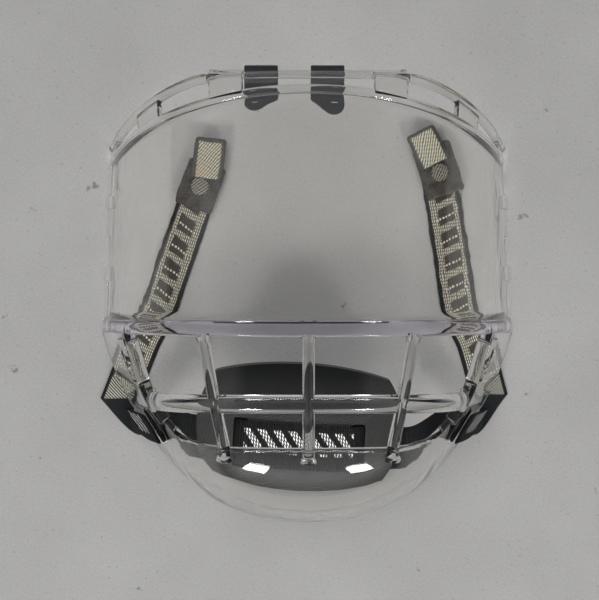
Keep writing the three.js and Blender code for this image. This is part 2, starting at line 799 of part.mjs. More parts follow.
const ovalShare = 0.35;
const cupDrop = dropAt(cupDropShare);
const cupHalfWidth = cupWidthShare * shieldHalfWidth;
const cupHalfHeight = cupHeightShare * chinDrop;
const cupCrown = cupCrownShare * shieldDepth;
const cupEndDrop = cupEndShare * cupHalfWidth;
const cupEdgeDrop = cupEdgeShare * cupHalfHeight;
const cupSlotOffset = cupSlotShare * cupHalfWidth;
const bandDrop = dropAt(bandDropShare);
const bandOffset = cupDrop - bandDrop;

function cupPlace(u, v) {
  return {
    x: cupHalfWidth * u * Math.sqrt(1 - ovalShare * v ** 2),
    y: cupHalfHeight * v * Math.sqrt(1 - ovalShare * u ** 2),
  };
}

// A point of the turned cup, given outward from its middle.
function cupPoint(x, y, z) {
  const point = vector(x, y, z).applyAxisAngle(vector(0, 0, 1), cupTurn * degree);
  return point.add(vector(cupCentreX, -cupDrop, 0));
}

function cupFront(x, y) {
  return cupCrown - cupEndDrop * (x / cupHalfWidth) ** 2 - cupEdgeDrop * (y / cupHalfHeight) ** 4;
}

function cupGrid(across, up, lift) {
  return Array.from({ length: up + 1 }, (_, row) => Array.from({ length: across + 1 }, (__, column) => {
    const { x, y } = cupPlace(mix(-1, 1, column / across), mix(-1, 1, row / up));
    return cupPoint(x, y, cupFront(x, y) + lift(x, y));
  }));
}

function cupShell() {
  const front = cupGrid(cupShellColumns, cupShellRows, () => 0);
  const back = cupGrid(cupShellColumns, cupShellRows, () => -cupShellThickness);
  let shell = solidOf(slabGeometry(front, back));
  for (const side of [-1, 1]) {
    const slot = boxGeometry(
      vector(-cupSlotWidth / 2, -cupSlotLength / 2, -shieldDepth),
      vector(cupSlotWidth / 2, cupSlotLength / 2, shieldDepth),
    );
    slot.translate(side * cupSlotOffset, bandOffset, 0).rotateZ(cupTurn * degree);
    shell = shell.subtract(solidOf(slot.translate(cupCentreX, -cupDrop, 0)));
  }
  return geometryOf(shell);
}

// The lining follows the shell's back, with a channel for the webbing and a crowned back.
const liningEdgeShare = 0.35;

function cupLining() {
  const channelDepth = bandThickness + softGap;
  const channelStart = cupSlotOffset - cupSlotWidth;
  const front = cupGrid(cupLiningColumns, cupLiningRows, (x, y) => {
    const inside = smooth(Math.abs(x), channelStart - cupSlotWidth / 2, channelStart);
    const edge = bandWidth / 2 + 2 * softGap;
    const beside = smooth(Math.abs(y - bandOffset), edge, edge + 2 * channelDepth);
    return -cupShellThickness - softGap - channelDepth * inside * (1 - beside);
  });
  const back = cupGrid(cupLiningColumns, cupLiningRows, (x, y) => {
    const rim = Math.max(Math.abs(x / cupHalfWidth), Math.abs(y / cupHalfHeight));
    const crown = Math.sqrt(Math.max(1 - rim ** 4, 0));
    return -cupShellThickness - softGap - channelDepth - mix(liningEdgeShare, 1, crown) * cupLiningThickness;
  });
  return slabGeometry(front, back);
}

// The webbing's run through the cup: behind its ends and in front between the slots.
function bandFront() {
  const dipStart = cupSlotOffset - cupSlotWidth / 2 + softGap;
  const dipEnd = cupSlotOffset + cupSlotWidth / 2 - softGap;
  const end = cupHalfWidth + bandEndOverhang;
  const half = [
    ...evenly(0, dipStart, 8), ...evenly(dipStart, dipEnd, 3).slice(1), ...evenly(dipEnd, end, 6).slice(1),
  ];
  const places = [...half.slice(1).reverse().map((x) => -x), ...half];
  const surface = (lift) => evenly(-0.5, 0.5, 3).map((share) => places.map((x) => {
    const y = bandOffset + share * bandWidth;
    const behind = THREE.MathUtils.clamp((Math.abs(x) - dipStart) / (dipEnd - dipStart), 0, 1);
    const level = mix(softGap, -cupShellThickness - softGap - bandThickness, behind);
    return cupPoint(x, y, cupFront(x, y) + level + lift);
  }));
  return slabGeometry(surface(bandThickness), surface(0));
}

// The webbing from the cup's end to the shield's slot and out through it.
const bandLeadShare = 0.35;

function bandSide(side) {
  const { centre, along, normal } = bandSlotFrame(side);
  const end = cupHalfWidth + bandEndOverhang + softGap;
  const middle = centre.clone().addScaledVector(normal, -wallThickness / 2);
  const grid = evenly(-0.5, 0.5, 4).map((share) => {
    const across = share * bandWidth;
    const y = bandOffset + across;
    const depth = cupFront(end, y) - cupShellThickness - softGap - bandThickness / 2;
    const start = cupPoint(side * end, y, depth);
    const slot = middle.clone().addScaledVector(along, -across);
    const inside = slot.clone().addScaledVector(normal, -wallThickness);
    const lead = bandLeadShare * start.distanceTo(inside);
    const route = new THREE.CubicBezierCurve3(
      start,
      cupPoint(side * (end + lead), y, depth),
      inside.clone().addScaledVector(normal, -lead),
      inside,
    );
    const outside = slot.clone().addScaledVector(normal, wallThickness / 2 + bandThickness);
    return [...route.getPoints(bandSteps), slot, outside];
  });
  return sheetGeometry(grid, bandThickness, bandThickness / 2);
}

// The end of the webbing, folded back along the shield's outside. Its rows run along the slot and
// its shares run down the wall.
const tabShares = [0.49, 1.08];
const lastNormalShare = 0.9;

// The tab's middle row, which slants toward the ledge from the slot to the tab's end.
const tabSlantShare = 0.016;

function tabMiddle(share) {
  const past = (share - tabShares[0]) / (tabShares[1] - tabShares[0]);
  return bandSlotRow - tabSlantShare * lastRow * past;
}

function tabPoint(row, share) {
  const gap = 1.5 * bandThickness + 2 * softGap;
  return shellPoint(row, share).addScaledVector(shellNormal(row, Math.min(share, lastNormalShare)), gap);
}

// How many rows half of a width takes, at a share of the way down the wall.
function rowSpan(width, share) {
  const [before, after] = [-1, 1].map((step) => shellPoint(bandSlotRow + step, share));
  return width / before.distanceTo(after);
}

function bandEndTab(side) {
  const grid = evenly(tabShares[0], tabShares[1], tabSteps).map((share) => {
    const span = rowSpan(bandWidth, share);
    return evenly(tabMiddle(share) - span, tabMiddle(share) + span, tabSteps).map(
      (row) => onSide(side, tabPoint(row, share)),
    );
  });
  return sheetGeometry(grid, bandThickness, bandThickness / 2);
}

// Side straps
// Each lies on the floor inside the lens, passes under the rim and rises outside it to the webbing's
// end. The left and right lie at different slants, as they were laid down. Routes are given outward
// from the middle of the shield.
// Each route's stops: shares of the half width outward, and of the lens's rise or the chin's drop.
const strapRouteShares = {
  left: { top: [0.514, 0.866], knee: [0.764, -0.097], hinge: [0.815, -0.199], fold: [0.926, -0.477] },
  right: { top: [0.648, 0.966], knee: [0.774, -0.088], hinge: [0.826, -0.199], fold: [0.898, -0.457] },
};
const strapHingeShare = 0.75;

function strapStop([x, y]) {
  return vector(x * shieldHalfWidth, y * (y > 0 ? lensSideRise : chinDrop), 0);
}

// A run of a strap along the floor, between two shares of its route, as rows across its width.
function strapFloor({ top, knee, hinge, fold }, from, to, steps) {
  const stops = [top, top.clone().lerp(knee, 0.5), knee, hinge, fold];
  const curve = new THREE.CatmullRomCurve3(stops.map((stop) => stop.clone().setZ(strapThickness / 2)));
  const rows = evenly(-0.5, 0.5, 4).map((share) => evenly(from, to, steps).map((place) => {
    const tangent = curve.getTangent(place);
    return curve.getPoint(place).addScaledVector(vector(-tangent.y, tangent.x, 0), share * strapWidth);
  }));
  return { rows, heading: curve.getTangent(to) };
}

// The share of a route that half of the hinge's gap takes.
function hingeGapShare({ hinge, fold }) {
  return ((1 - strapHingeShare) * softGap) / hinge.distanceTo(fold) / 2;
}

// The long run, from the fastening end to the hinge line just inside the shield.
function strapRun(side, route) {
  const { rows } = strapFloor(route, 0, strapHingeShare - hingeGapShare(route), strapSteps);
  const grid = rows.map((row) => row.map((point) => onSide(side, point)));
  return sheetGeometry(grid, strapThickness, strapThickness / 2);
}

// The rest of the strap: under the rim, and up beside the shield to the webbing's end.
function strapAnchor(side, route) {
  const { rows, heading } = strapFloor(route, strapHingeShare + hingeGapShare(route), 1, anchorSteps);
  const span = rowSpan(strapWidth, tabShares[1]);
  const grid = rows.map((run, index) => {
    const share = index / (rows.length - 1) - 0.5;
    const row = tabMiddle(tabShares[1]) - 2 * share * span;
    const seat = tabPoint(row, tabShares[1]);
    const upward = tabPoint(row, 1).sub(seat).normalize();
    seat.addScaledVector(upward, -2 * softGap);
    const last = run[run.length - 1];
    const rise = new THREE.CubicBezierCurve3(
      last,
      last.clone().addScaledVector(heading, creaseLead),
      seat.clone().addScaledVector(upward, -anchorLead),
      seat,
    );
    return [...run.slice(0, -1), ...rise.getPoints(anchorRiseSteps)].map((point) => onSide(side, point));
  });
  return sheetGeometry(grid, strapThickness, strapThickness / 2);
}

// Fastening ends

function roundedPlate(width, length, radius) {
  const shape = new THREE.Shape();
  const x = width / 2;
  const y = length / 2;
  shape.moveTo(-x + radius, -y);
  shape.lineTo(x - radius, -y);
  shape.absarc(x - radius, -y + radius, radius, -Math.PI / 2, 0);
  shape.lineTo(x, y - radius);
  shape.absarc(x - radius, y - radius, radius, 0, Math.PI / 2);
  shape.lineTo(-x + radius, y);
  shape.absarc(-x + radius, y - radius, radius, Math.PI / 2, Math.PI);
  shape.lineTo(-x, -y + radius);
  shape.absarc(-x + radius, -y + radius, radius, Math.PI, 1.5 * Math.PI);
  return shape;
}

// A plate on a strap, from start to end along it.
function plate(width, start, end, thickness) {
  const shape = roundedPlate(width, end - start, tabCornerRadius);
  const body = new THREE.ExtrudeGeometry(shape, { depth: thickness, bevelEnabled: false, curveSegments: 4 });
  return body.translate(0, (start + end) / 2, 0);
}

function turned(profile) {
  const points = profile.map(([radius, height]) => new THREE.Vector2(radius, height));
  return new THREE.LatheGeometry(points, snapSides).rotateX(Math.PI / 2);
}

const socketRoofShare = 0.75;
const capProfileShares = [[0, 0], [1, 0], [1, 0.4], [0.85, 0.8], [0.5, 0.96], [0, 1]];
const studLevel = strapThickness + softGap;
const socketLevel = studLevel + snapStudFlangeHeight + softGap;
const tabLevel = socketLevel + snapSocketHeight + softGap;
const capLevel = tabLevel + fasteningTabThickness + softGap;

const studProfile = [
  [0, 0], [snapStudFlangeRadius, 0], [snapStudFlangeRadius, snapStudFlangeHeight],
  [snapStudRadius, snapStudFlangeHeight],
  [snapStudRadius, snapStudFlangeHeight + softGap + snapSocketHeight / 2],
  [0, snapStudFlangeHeight + softGap + snapSocketHeight / 2],
];
const socketBore = snapStudRadius + softGap;
const socketRoof = snapSocketHeight * socketRoofShare;
const socketProfile = [
  [socketBore, 0], [snapSocketRadius, 0], [snapSocketRadius, snapSocketHeight],
  [0, snapSocketHeight], [0, socketRoof], [socketBore, socketRoof], [socketBore, 0],
];
const capProfile = capProfileShares.map(
  ([radius, height]) => [radius * snapCapRadius, height * snapCapHeight],
);

const black = { color: 0x1c1d1f, roughness: 0.85, metalness: 0 };
const finishes = {
  clear: { color: 0xd8d5dc, roughness: 0.05, metalness: 0, transparent: true, opacity: 0.35 },
  webbing: black,
  loop: { color: 0x161719, roughness: 0.5, metalness: 0 },
  cup: { color: 0x2b2d2d, roughness: 0.8, metalness: 0 },
  elastic: { color: 0x8d8878, roughness: 0.9, metalness: 0 },
  suede: { color: 0x4c4844, roughness: 0.95, metalness: 0 },
  mesh: { color: 0xb6b2a0, roughness: 0.9, metalness: 0 },
  steel: { color: 0xb9bcc0, roughness: 0.3, metalness: 1 },
};

const visor = new THREE.Group();

function place(name, geometry, finish, parent = visor) {
  const mesh = new THREE.Mesh(geometry, new THREE.MeshStandardMaterial(finishes[finish]));
  mesh.name = name;
  parent.add(mesh);
}

place('lens', geometryOf(lensWithSlots()), 'clear');
place('lens_ledge', geometryOf(ledgeSolid()), 'clear');
place('top_flange', geometryOf(topFlange()), 'clear');
place('side_frame_left', geometryOf(sideFrame(-1)), 'clear');
place('side_frame_right', geometryOf(sideFrame(1)), 'clear');
place('chin_guard', geometryOf(chinGuard()), 'clear');
place('upright_left', geometryOf(upright(-1)), 'clear');
place('upright_centre', geometryOf(upright(0)), 'clear');
place('upright_right', geometryOf(upright(1)), 'clear');

const crossbarEnd = crossbarHalfWidth - sideBarRadius;
for (const [name, side] of [['left', -1], ['right', 1]]) {
  const inner = crossbar(0, side * uprightMiddleOffset);
  const outer = crossbar(side * uprightMiddleOffset, side * crossbarEnd);
  place(`crossbar_${name}_inner`, geometryOf(inner), 'clear');
  place(`crossbar_${name}_outer`, geometryOf(outer), 'clear');
}

place('chin_cup_shell', cupShell(), 'cup');
place('chin_cup_lining', cupLining(), 'cup');
place('chin_band_front', bandFront(), 'webbing');

for (const [name, side] of [['left', -1], ['right', 1]]) {
  const route = {};
  for (const [stop, shares] of Object.entries(strapRouteShares[name])) route[stop] = strapStop(shares);
  place(`top_loop_${name}`, topLoop(name, side), 'loop');
  place(`chin_band_${name}`, bandSide(side), 'webbing');
  place(`band_end_tab_${name}`, bandEndTab(side), 'webbing');
  place(`side_strap_${name}`, strapRun(side, route), 'elastic');
  place(`strap_anchor_${name}`, strapAnchor(side, route), 'webbing');
  const fastening = new THREE.Group();
  const down = onSide(side, route.knee.clone().sub(route.top)).normalize();
  fastening.position.copy(onSide(side, route.top)).addScaledVector(down, snapSetback);
  fastening.rotation.z = Math.atan2(down.y, down.x) + Math.PI / 2;
  visor.add(fastening);
  place(`snap_stud_${name}`, turned(studProfile).translate(0, 0, studLevel), 'steel', fastening);
  place(`snap_socket_${name}`, turned(socketProfile).translate(0, 0, socketLevel), 'steel', fastening);
  const tab = plate(fasteningTabWidth, fasteningTabStart, fasteningTabEnds[name], fasteningTabThickness);
  tab.translate(0, 0, tabLevel).rotateZ(fasteningTabTurns[name] * degree);
  place(`fastening_tab_${name}`, tab, 'suede', fastening);
  place(`snap_cap_${name}`, turned(capProfile).translate(0, 0, capLevel), 'mesh', fastening);
  const pull = plate(pullTabWidth, pullTabStarts[name], pullTabEnds[name], pullTabThickness);
  pull.translate(pullTabShifts[name], 0, capLevel).rotateZ(pullTabTurns[name] * degree);
  place(`pull_tab_${name}`, pull, 'mesh', fastening);
}

// The origin is under the middle of the visor, on the surface that it lies on.
visor.updateMatrixWorld(true);
const extent = new THREE.Box3().setFromObject(visor, true);
const middle = extent.getCenter(vector(0, 0, 0));
visor.position.set(-middle.x, -middle.y, -extent.min.z);

export default visor;
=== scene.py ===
"""A full-face hockey visor on its back on a pale floor."""

import math

import bmesh
import bpy
import numpy as np
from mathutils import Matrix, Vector


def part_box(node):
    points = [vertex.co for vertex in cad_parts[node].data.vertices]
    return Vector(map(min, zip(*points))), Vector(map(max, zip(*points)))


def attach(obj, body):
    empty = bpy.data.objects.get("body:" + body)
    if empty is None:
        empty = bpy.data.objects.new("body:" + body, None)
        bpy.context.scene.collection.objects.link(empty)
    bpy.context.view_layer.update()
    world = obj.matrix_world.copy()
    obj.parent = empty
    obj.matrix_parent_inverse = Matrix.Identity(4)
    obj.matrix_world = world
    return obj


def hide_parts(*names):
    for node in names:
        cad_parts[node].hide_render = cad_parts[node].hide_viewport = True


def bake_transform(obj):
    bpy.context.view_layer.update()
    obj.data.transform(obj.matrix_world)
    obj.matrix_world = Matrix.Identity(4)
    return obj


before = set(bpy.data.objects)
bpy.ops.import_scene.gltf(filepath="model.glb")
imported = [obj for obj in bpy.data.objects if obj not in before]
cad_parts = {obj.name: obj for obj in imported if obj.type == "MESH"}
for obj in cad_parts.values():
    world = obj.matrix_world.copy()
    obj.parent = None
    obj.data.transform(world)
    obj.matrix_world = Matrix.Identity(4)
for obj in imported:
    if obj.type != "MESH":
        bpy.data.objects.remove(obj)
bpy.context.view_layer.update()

MM = 0.001
SIDE_NAMES = {-1: "left", 1: "right"}

# Sizes in millimetres, as in the solids
HALF_WIDTH = 105.0
DEPTH = 110.0
TOP_HALF_WIDTH = 101.5
TOP_DEPTH = 103.0
FRONT_RISE = 96.0
SIDE_RISE = 73.0
BACK_CORNER = 6.0
FLARE = 18.0
RIM_FLARE = 1.2
RIM_FLARE_DEPTH = 15.0
WALL = 2.6
LEDGE_DROP = 13.0
LEDGE_HEIGHT = 6.5
LEDGE_THICKNESS = 4.6
CHIN_DROP = 107.0
CORNER_EXPONENT = 0.74
RAIL = 1.9

# The ledge's rounded corners, and where its blend into the wall starts and ends round its top
LEDGE_CORNER = 1.3
LEDGE_BLEND_START = 0.9
LEDGE_BLEND_END = 0.7

# The bead along the top, and the drops from the top between which the wall swells into it
BEAD_RISE = 1.8
BEAD_HALF = 2.0
BEAD_PROUD = 0.7
BEAD_FOOT = 4.3
BEAD_NECK = 3.1

# Side slots and the bosses between them: the rise and length of each, then what they share
SLOTS = ((62.0, 15.0), (25.5, 15.0), (0.0, 18.0))
BOSSES = ((50.0, 6.5), (13.5, 7.5))
SLOT_DEPTH, SLOT_SETBACK, SLOT_CUT, SLOT_CORNER = 7.0, 4.0, 14.0, 1.6
BOSS_DEPTH, BOSS_SETBACK, BOSS_THICKNESS, BOSS_CORNER = 12.0, 1.2, 4.8, 1.0

# The guard's top edge: its drop, its half width, and its height from the floor at the ends and in the middle
GUARD_TOP = (66.02, 64.05, 57.97, 108.02)
# The crossbar: its drop in the middle and at its ends, its half width, and its height at its ends and in
# the middle
CROSSBAR = (45.6, 47.3, 74.03, 50.05, 110.99)
# The outer uprights' distance from the middle at the ledge, the crossbar and the guard
UPRIGHTS = (45.3, 41.475, 37.485)
BAR_EXPONENT = 2.3
BAR_FLARE = 0.35
UPRIGHT_THICKNESS, UPRIGHT_FLARE_REACH, UPRIGHT_TAIL = 5.5, 2.2, 1.2
CROSSBAR_THICKNESS, CROSSBAR_HEIGHT, CROSSBAR_FLARE_REACH, CROSSBAR_OVERRUN = 5.2, 8.4, 3.0, 1.5
GUARD_BEAD_THICKNESS, GUARD_BEAD_HEIGHT, GUARD_BEAD_DROP = 4.0, 3.0, 0.8
SIDE_BAR = 3.1
SIDE_BAR_OVERRUN = 2.2
LAST_ROW = 18
SIDE_BAR_ROWS, BEAD_ROWS = 3.9, 3.3

# The side windows: from the ledge down, from the rim strip up, and across the wall
WINDOW_DROPS, WINDOW_BACKS, WINDOW_REACH = (19.0, 41.0), (28.3, 35.5), (56.0, 112.0)
WINDOW_CORNER = 4.0

# The webbing's slots in the guard
TAB_ROW = 4.248
BAND_SLOT_SHARE, BAND_SLOT_HALF, BAND_SLOT_RADIUS, BAND_SLOT_REACH = 0.52, 12.0, 2.2, (-11, 8)

# The flange round the top, and the bar on it that the loops hang on
FLANGE_SETBACK = 12.0
FLANGE_TOP = 102.2
FLANGE_DIP, FLANGE_DIP_START, FLANGE_DIP_END = 0.8, 38.0, 50.0
FLANGE_FALL, FLANGE_FALL_START, FLANGE_FALL_EXPONENT = 0.062, 48.0, 1.5
FLANGE_ROUND, FLANGE_SWELL = 3.2, 0.5
FLANGE_END = BACK_CORNER + 3.6
BAR_RISE, BAR_DEPTH, BAR_ROUND, BAR_END_FLARE, BAR_FLARE_REACH = 104.0, 80.0, 4.0, 0.25, 1.5
CENTRE_WEB, CORNER_WEB, LAST_WEB_SHARE = (29.5, 44.5), (66.5, 75.5), 0.9

# The chin cup and its webbing
CUP_X, CUP_DROP, CUP_HALF, CUP_RISE, CUP_CROWN = -4.0, 60.99, 49.98, 31.03, 66.0
CUP_END, CUP_EDGE, CUP_SLOT = 17.99, 9.0, 27.99
CUP_SIDE_TAPER_SHARE, CUP_TOP_TAPER_SHARE = 0.29, 0.35
CUP_TURN = math.radians(-3.5)
CUP_WALL, CUP_SLOT_HALF, CUP_SLOT_RISE, CUP_SLOT_CORNER = 2.0, 3.5, 12.0, 1.6
SOFT_GAP = 0.3
LINING_THICKNESS, LINING_EDGE_SHARE, LINING_SEAM = 5.0, 0.35, 0.5
SEAM_SHARE, SEAM_WIDTH_SHARE = 0.72, 0.035
CHANNEL_DEPTH, CHANNEL_START, CHANNEL_END, CHANNEL_SIDES = 1.8, 17.5, 21.0, (0.6, 4.2)
BAND_Y = -69.55
BAND_ON_CUP = BAND_Y + CUP_DROP
BAND_WIDTH, BAND_THICK = 21.6, 1.5
BAND_FRONT_HALF, BAND_UNDER_END, BAND_SLOPE = 36.0, 51.8, 3.2
BAND_LEAD_SHARE = 0.35
# Where the webbing leaves the cup, outward and up, and where it reaches the shield
BAND_LEAVES, BAND_REACHES = (52, 44), (73, -61, 42)
END_TAB_LIFT = 1.5 * BAND_THICK + 0.6
TAB_SHARES = (0.49, 1.08)
TAB_SLANT_ROWS = 0.288

# Each strap's stops on the floor, outward from the middle: its top, its knee, the hinge and the fold
STRAPS = {
    -1: [(54.0, 63.22), (80.2, -10.38), (85.6, -21.29), (97.2, -51.04)],
    1: [(68.04, 70.52), (81.27, -9.42), (86.73, -21.29), (94.29, -48.9)],
}
STRAP_WIDTH, STRAP_THICK = 19.0, 1.6
# How a strap's inner and outer edges leave the fold, and where they head next on the way to the end tab
FOLD_LEAVES = np.array([[0.5, -2.0, 0.2], [-7.4, -8.0, 0.7]])
FOLD_HEADS = np.array([[90.0, -56.0, 5.0], [91.0, -71.5, 1.2]])

# The tabs and caps at the straps' upper ends, one value for each side where they differ
SNAP_DROP, STUD_HEIGHT, SOCKET_HEIGHT = 5.0, 0.5, 1.5
TAB_THICK, TAB_START, TAB_HALF = 1.5, -12.0, 10.25
TAB_ENDS, TAB_TURNS = {-1: 12.5, 1: 15.0}, {-1: 0, 1: 9}
PULL_THICK, PULL_START, PULL_HALF = 1.2, 5.0, 8.2
PULL_ENDS, PULL_TURNS, PULL_SHIFTS = {-1: 26.0, 1: 24.0}, {-1: 12.6, 1: 17}, {-1: 3.0, 1: 0.0}
TAB_LEVEL = STRAP_THICK + SOFT_GAP + STUD_HEIGHT + SOFT_GAP + SOCKET_HEIGHT + SOFT_GAP
CAP_LEVEL = TAB_LEVEL + TAB_THICK + SOFT_GAP
PLATE_CORNER = 2.0
CAP_RADIUS, CAP_HEIGHT = 4.6, 2.0

# The top loops: their middles across, their tabs' lengths and their section
LOOPS = {-1: -21.65, 1: 8.9}
LOOP_TAB_LENGTHS = {-1: 16.9, 1: 18.8}
LOOP_HALF, LOOP_INNER, LOOP_OUTER, LOOP_CORNER = 7.75, 2.4, 4.1, 0.5
LOOP_TAB_START, LOOP_TAB_HALF_THICK = -3.2, 1.6
HOLE_X, HOLE_SHARE, HOLE_HALF, HOLE_RISE = 3.1, 0.69, 1.7, 0.65

# The camera, straight above the object: its focal length is in the photo's pixels
CAMERA_X, CAMERA_HEIGHT, CAMERA_FOCUS, PHOTO_WIDTH, SENSOR = -4, 700, 1346, 599, 36

# The floor, in metres, just under the object
FLOOR_HALF, FLOOR_DROP = 3, 0.0003

ledge_low, ledge_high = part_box("lens_ledge")
SHIFT = np.array([
    (ledge_low.x + ledge_high.x) / 2 / MM,
    (ledge_low.y + ledge_high.y) / 2 / MM + LEDGE_DROP,
    0.0,
])


def mix(a, b, share):
    return a + (b - a) * share


def smooth(value, low, high):
    share = np.clip((value - low) / (high - low), 0, 1)
    return share * share * (3 - 2 * share)


def unit(vectors):
    return vectors / np.maximum(np.linalg.norm(vectors, axis=-1, keepdims=True), 1e-9)


# Meshes

def piece(name, points, faces, smooth_angle=35):
    """A mesh object from points in the model's own millimetres."""
    mesh = bpy.data.meshes.new(name)
    placed = (np.asarray(points, float).reshape(-1, 3) + SHIFT) * MM
    mesh.from_pydata([tuple(p) for p in placed], [], [tuple(int(i) for i in f) for f in faces])
    made = bpy.data.objects.new(name, mesh)
    bpy.context.scene.collection.objects.link(made)
    outward(mesh)
    soften(made, smooth_angle)
    return made


def outward(mesh):
    work = bmesh.new()
    work.from_mesh(mesh)
    bmesh.ops.recalc_face_normals(work, faces=work.faces)
    work.to_mesh(mesh)
    work.free()


def soften(made, angle):
    mesh = made.data
    mesh.shade_smooth()
    mesh.set_sharp_from_angle(angle=math.radians(angle))


def grid_faces(rows, columns, closed_rows=False, closed_columns=False, offset=0):
    faces = []
    for row in range(rows if closed_rows else rows - 1):
        after = (row + 1) % rows
        for column in range(columns if closed_columns else columns - 1):
            beside = (column + 1) % columns
            faces.append((
                offset + row * columns + column,
                offset + row * columns + beside,
                offset + after * columns + beside,
                offset + after * columns + column,
            ))
    return faces


def swept_faces(rows, columns):
    """Faces of a closed section's sweep, with an end on its first row and its last."""
    ends = range(columns), reversed(range((rows - 1) * columns, rows * columns))
    return grid_faces(rows, columns, closed_columns=True) + [tuple(end) for end in ends]


def prism_parts(layers):
    """A solid between two outlines of as many points."""
    layers = np.array(layers)
    return layers.reshape(-1, 3), swept_faces(2, layers.shape[1])


def run_along(points):
    """How far along a line each of its points is."""
    return np.concatenate([[0], np.cumsum(np.linalg.norm(np.diff(points, axis=0), axis=1))])


def grid_normals(grid):
    along = np.gradient(grid, axis=1)
    across = np.gradient(grid, axis=0)
    return unit(np.cross(along, across))


def slab_parts(front, back):
    """Points and faces of a closed solid between two grids."""
    rows, columns = front.shape[:2]
    count = rows * columns
    faces = grid_faces(rows, columns)
    faces += [tuple(reversed(face)) for face in grid_faces(rows, columns, offset=count)]
    edge = [row * columns for row in range(rows)]
    ring = list(range(columns))
    ring += [row * columns + columns - 1 for row in range(1, rows)]
    ring += [(rows - 1) * columns + column for column in range(columns - 2, -1, -1)]
    ring += edge[-2:0:-1]
    for here, there in zip(ring, ring[1:] + ring[:1]):
        faces.append((here, here + count, there + count, there))
    return np.concatenate([front.reshape(-1, 3), back.reshape(-1, 3)]), faces


def sheet_parts(grid, thickness, proud=0.0):
    """A sheet whose outside is the grid moved out by proud, away from the head."""
    normals = grid_normals(grid)
    rows, columns = grid.shape[:2]
    middle = normals[rows // 2, columns // 2] @ grid[rows // 2, columns // 2]
    normals = normals * (1 if middle >= 0 else -1)
    return slab_parts(grid + normals * proud, grid + normals * (proud - thickness))


def tube_parts(points, thickness, height, up, sides=20, ends=None):
    """A bar of oval section along points, with its height measured along up."""
    points = np.asarray(points, float)
    along = unit(np.gradient(points, axis=0))
    up = np.broadcast_to(np.asarray(up, float), points.shape)
    out = unit(np.cross(along, up))
    rise = unit(np.cross(out, along))
    angles = (np.arange(sides) + 0.5) / sides * 2 * math.pi
    scale = np.ones(len(points)) if ends is None else np.asarray(ends, float)
    rings = (
        points[:, None]
        + out[:, None] * (np.cos(angles) * thickness / 2)[None, :, None] * scale[:, None, None]
        + rise[:, None] * (np.sin(angles) * height / 2)[None, :, None] * scale[:, None, None]
    )
    return rings.reshape(-1, 3), swept_faces(len(points), sides)


def evaluated(made):
    """Applies the object's modifiers."""
    graph = bpy.context.evaluated_depsgraph_get()
    mesh = bpy.data.meshes.new_from_object(made.evaluated_get(graph))
    old = made.data
    made.modifiers.clear()
    made.data = mesh
    bpy.data.meshes.remove(old)


def boolean(made, other, operation):
    change = made.modifiers.new(operation, "BOOLEAN")
    change.operation = operation
    change.solver = "MANIFOLD"
    change.object = other
    evaluated(made)
    bpy.data.objects.remove(other)


def fused(name, parts, voxel):
    """One closed skin round several solids, with their joints filleted."""
    points, faces, offset = [], [], 0
    for part_points, part_faces in parts:
        points.append(np.asarray(part_points).reshape(-1, 3))
        faces += [tuple(index + offset for index in face) for face in part_faces]
        offset += len(points[-1])
    made = piece(name, np.concatenate(points), faces)
    remesh = made.modifiers.new("skin", "REMESH")
    remesh.mode = "VOXEL"
    remesh.voxel_size = voxel * MM
    relax = made.modifiers.new("relax", "SMOOTH")
    relax.factor = 0.5
    relax.iterations = 3
    evaluated(made)
    soften(made, 60)
    return made


# The wall of the lens

def wall_point(y, turn):
    y, turn = np.broadcast_arrays(np.asarray(y, float), np.asarray(turn, float))
    angle = np.clip(np.abs(turn), 0, 1) * math.pi / 2
    reach = np.maximum(np.cos(angle), 0) ** CORNER_EXPONENT
    bend = np.sin(angle) ** CORNER_EXPONENT
    share = (y + LEDGE_DROP) / (FRONT_RISE + LEDGE_DROP)
    straight = mix(HALF_WIDTH, TOP_HALF_WIDTH, share) - FLARE
    z = mix(DEPTH, TOP_DEPTH, share) * reach
    rim = RIM_FLARE * np.maximum(1 - z / RIM_FLARE_DEPTH, 0)
    x = straight * bend + FLARE * (1 - reach) ** 1.5 + rim
    return np.stack([np.sign(turn) * x, y, z], axis=-1)


def wall_normal(y, turn):
    nudge = 0.004
    turn = np.asarray(turn, float)
    before = wall_point(y, np.maximum(turn - nudge, -1))
    after = wall_point(y, np.minimum(turn + nudge, 1))
    return unit(np.stack([
        before[..., 2] - after[..., 2], 0 * before[..., 0], after[..., 0] - before[..., 0]
    ], axis=-1))


def turn_at_depth(z):
    return math.acos((z / DEPTH) ** (1 / CORNER_EXPONENT)) / (math.pi / 2)


def turn_across(x):
    share = min(x / (TOP_HALF_WIDTH - FLARE), 1)
    return math.asin(share ** (1 / CORNER_EXPONENT)) / (math.pi / 2)


def lens_top(turn):
    x, _, z = np.moveaxis(wall_point(0.0, turn), -1, 0)
    arch = mix(FRONT_RISE, SIDE_RISE, (x / HALF_WIDTH) ** 2)
    short = np.maximum(BACK_CORNER - z, 0)
    return arch - BACK_CORNER + np.sqrt(np.maximum(BACK_CORNER ** 2 - short ** 2, 0))


def even_turns(last, count, y=40.0):
    """Turns at equal distances along the wall."""
    crowding = 6
    dense = np.sinh(np.linspace(-crowding, crowding, 6001)) / math.sinh(crowding) * last
    run = run_along(wall_point(y, dense))
    return np.interp(np.linspace(0, run[-1], count), run, dense)


# The clear shield: the lens with its ledge and top bead, swept round the wall

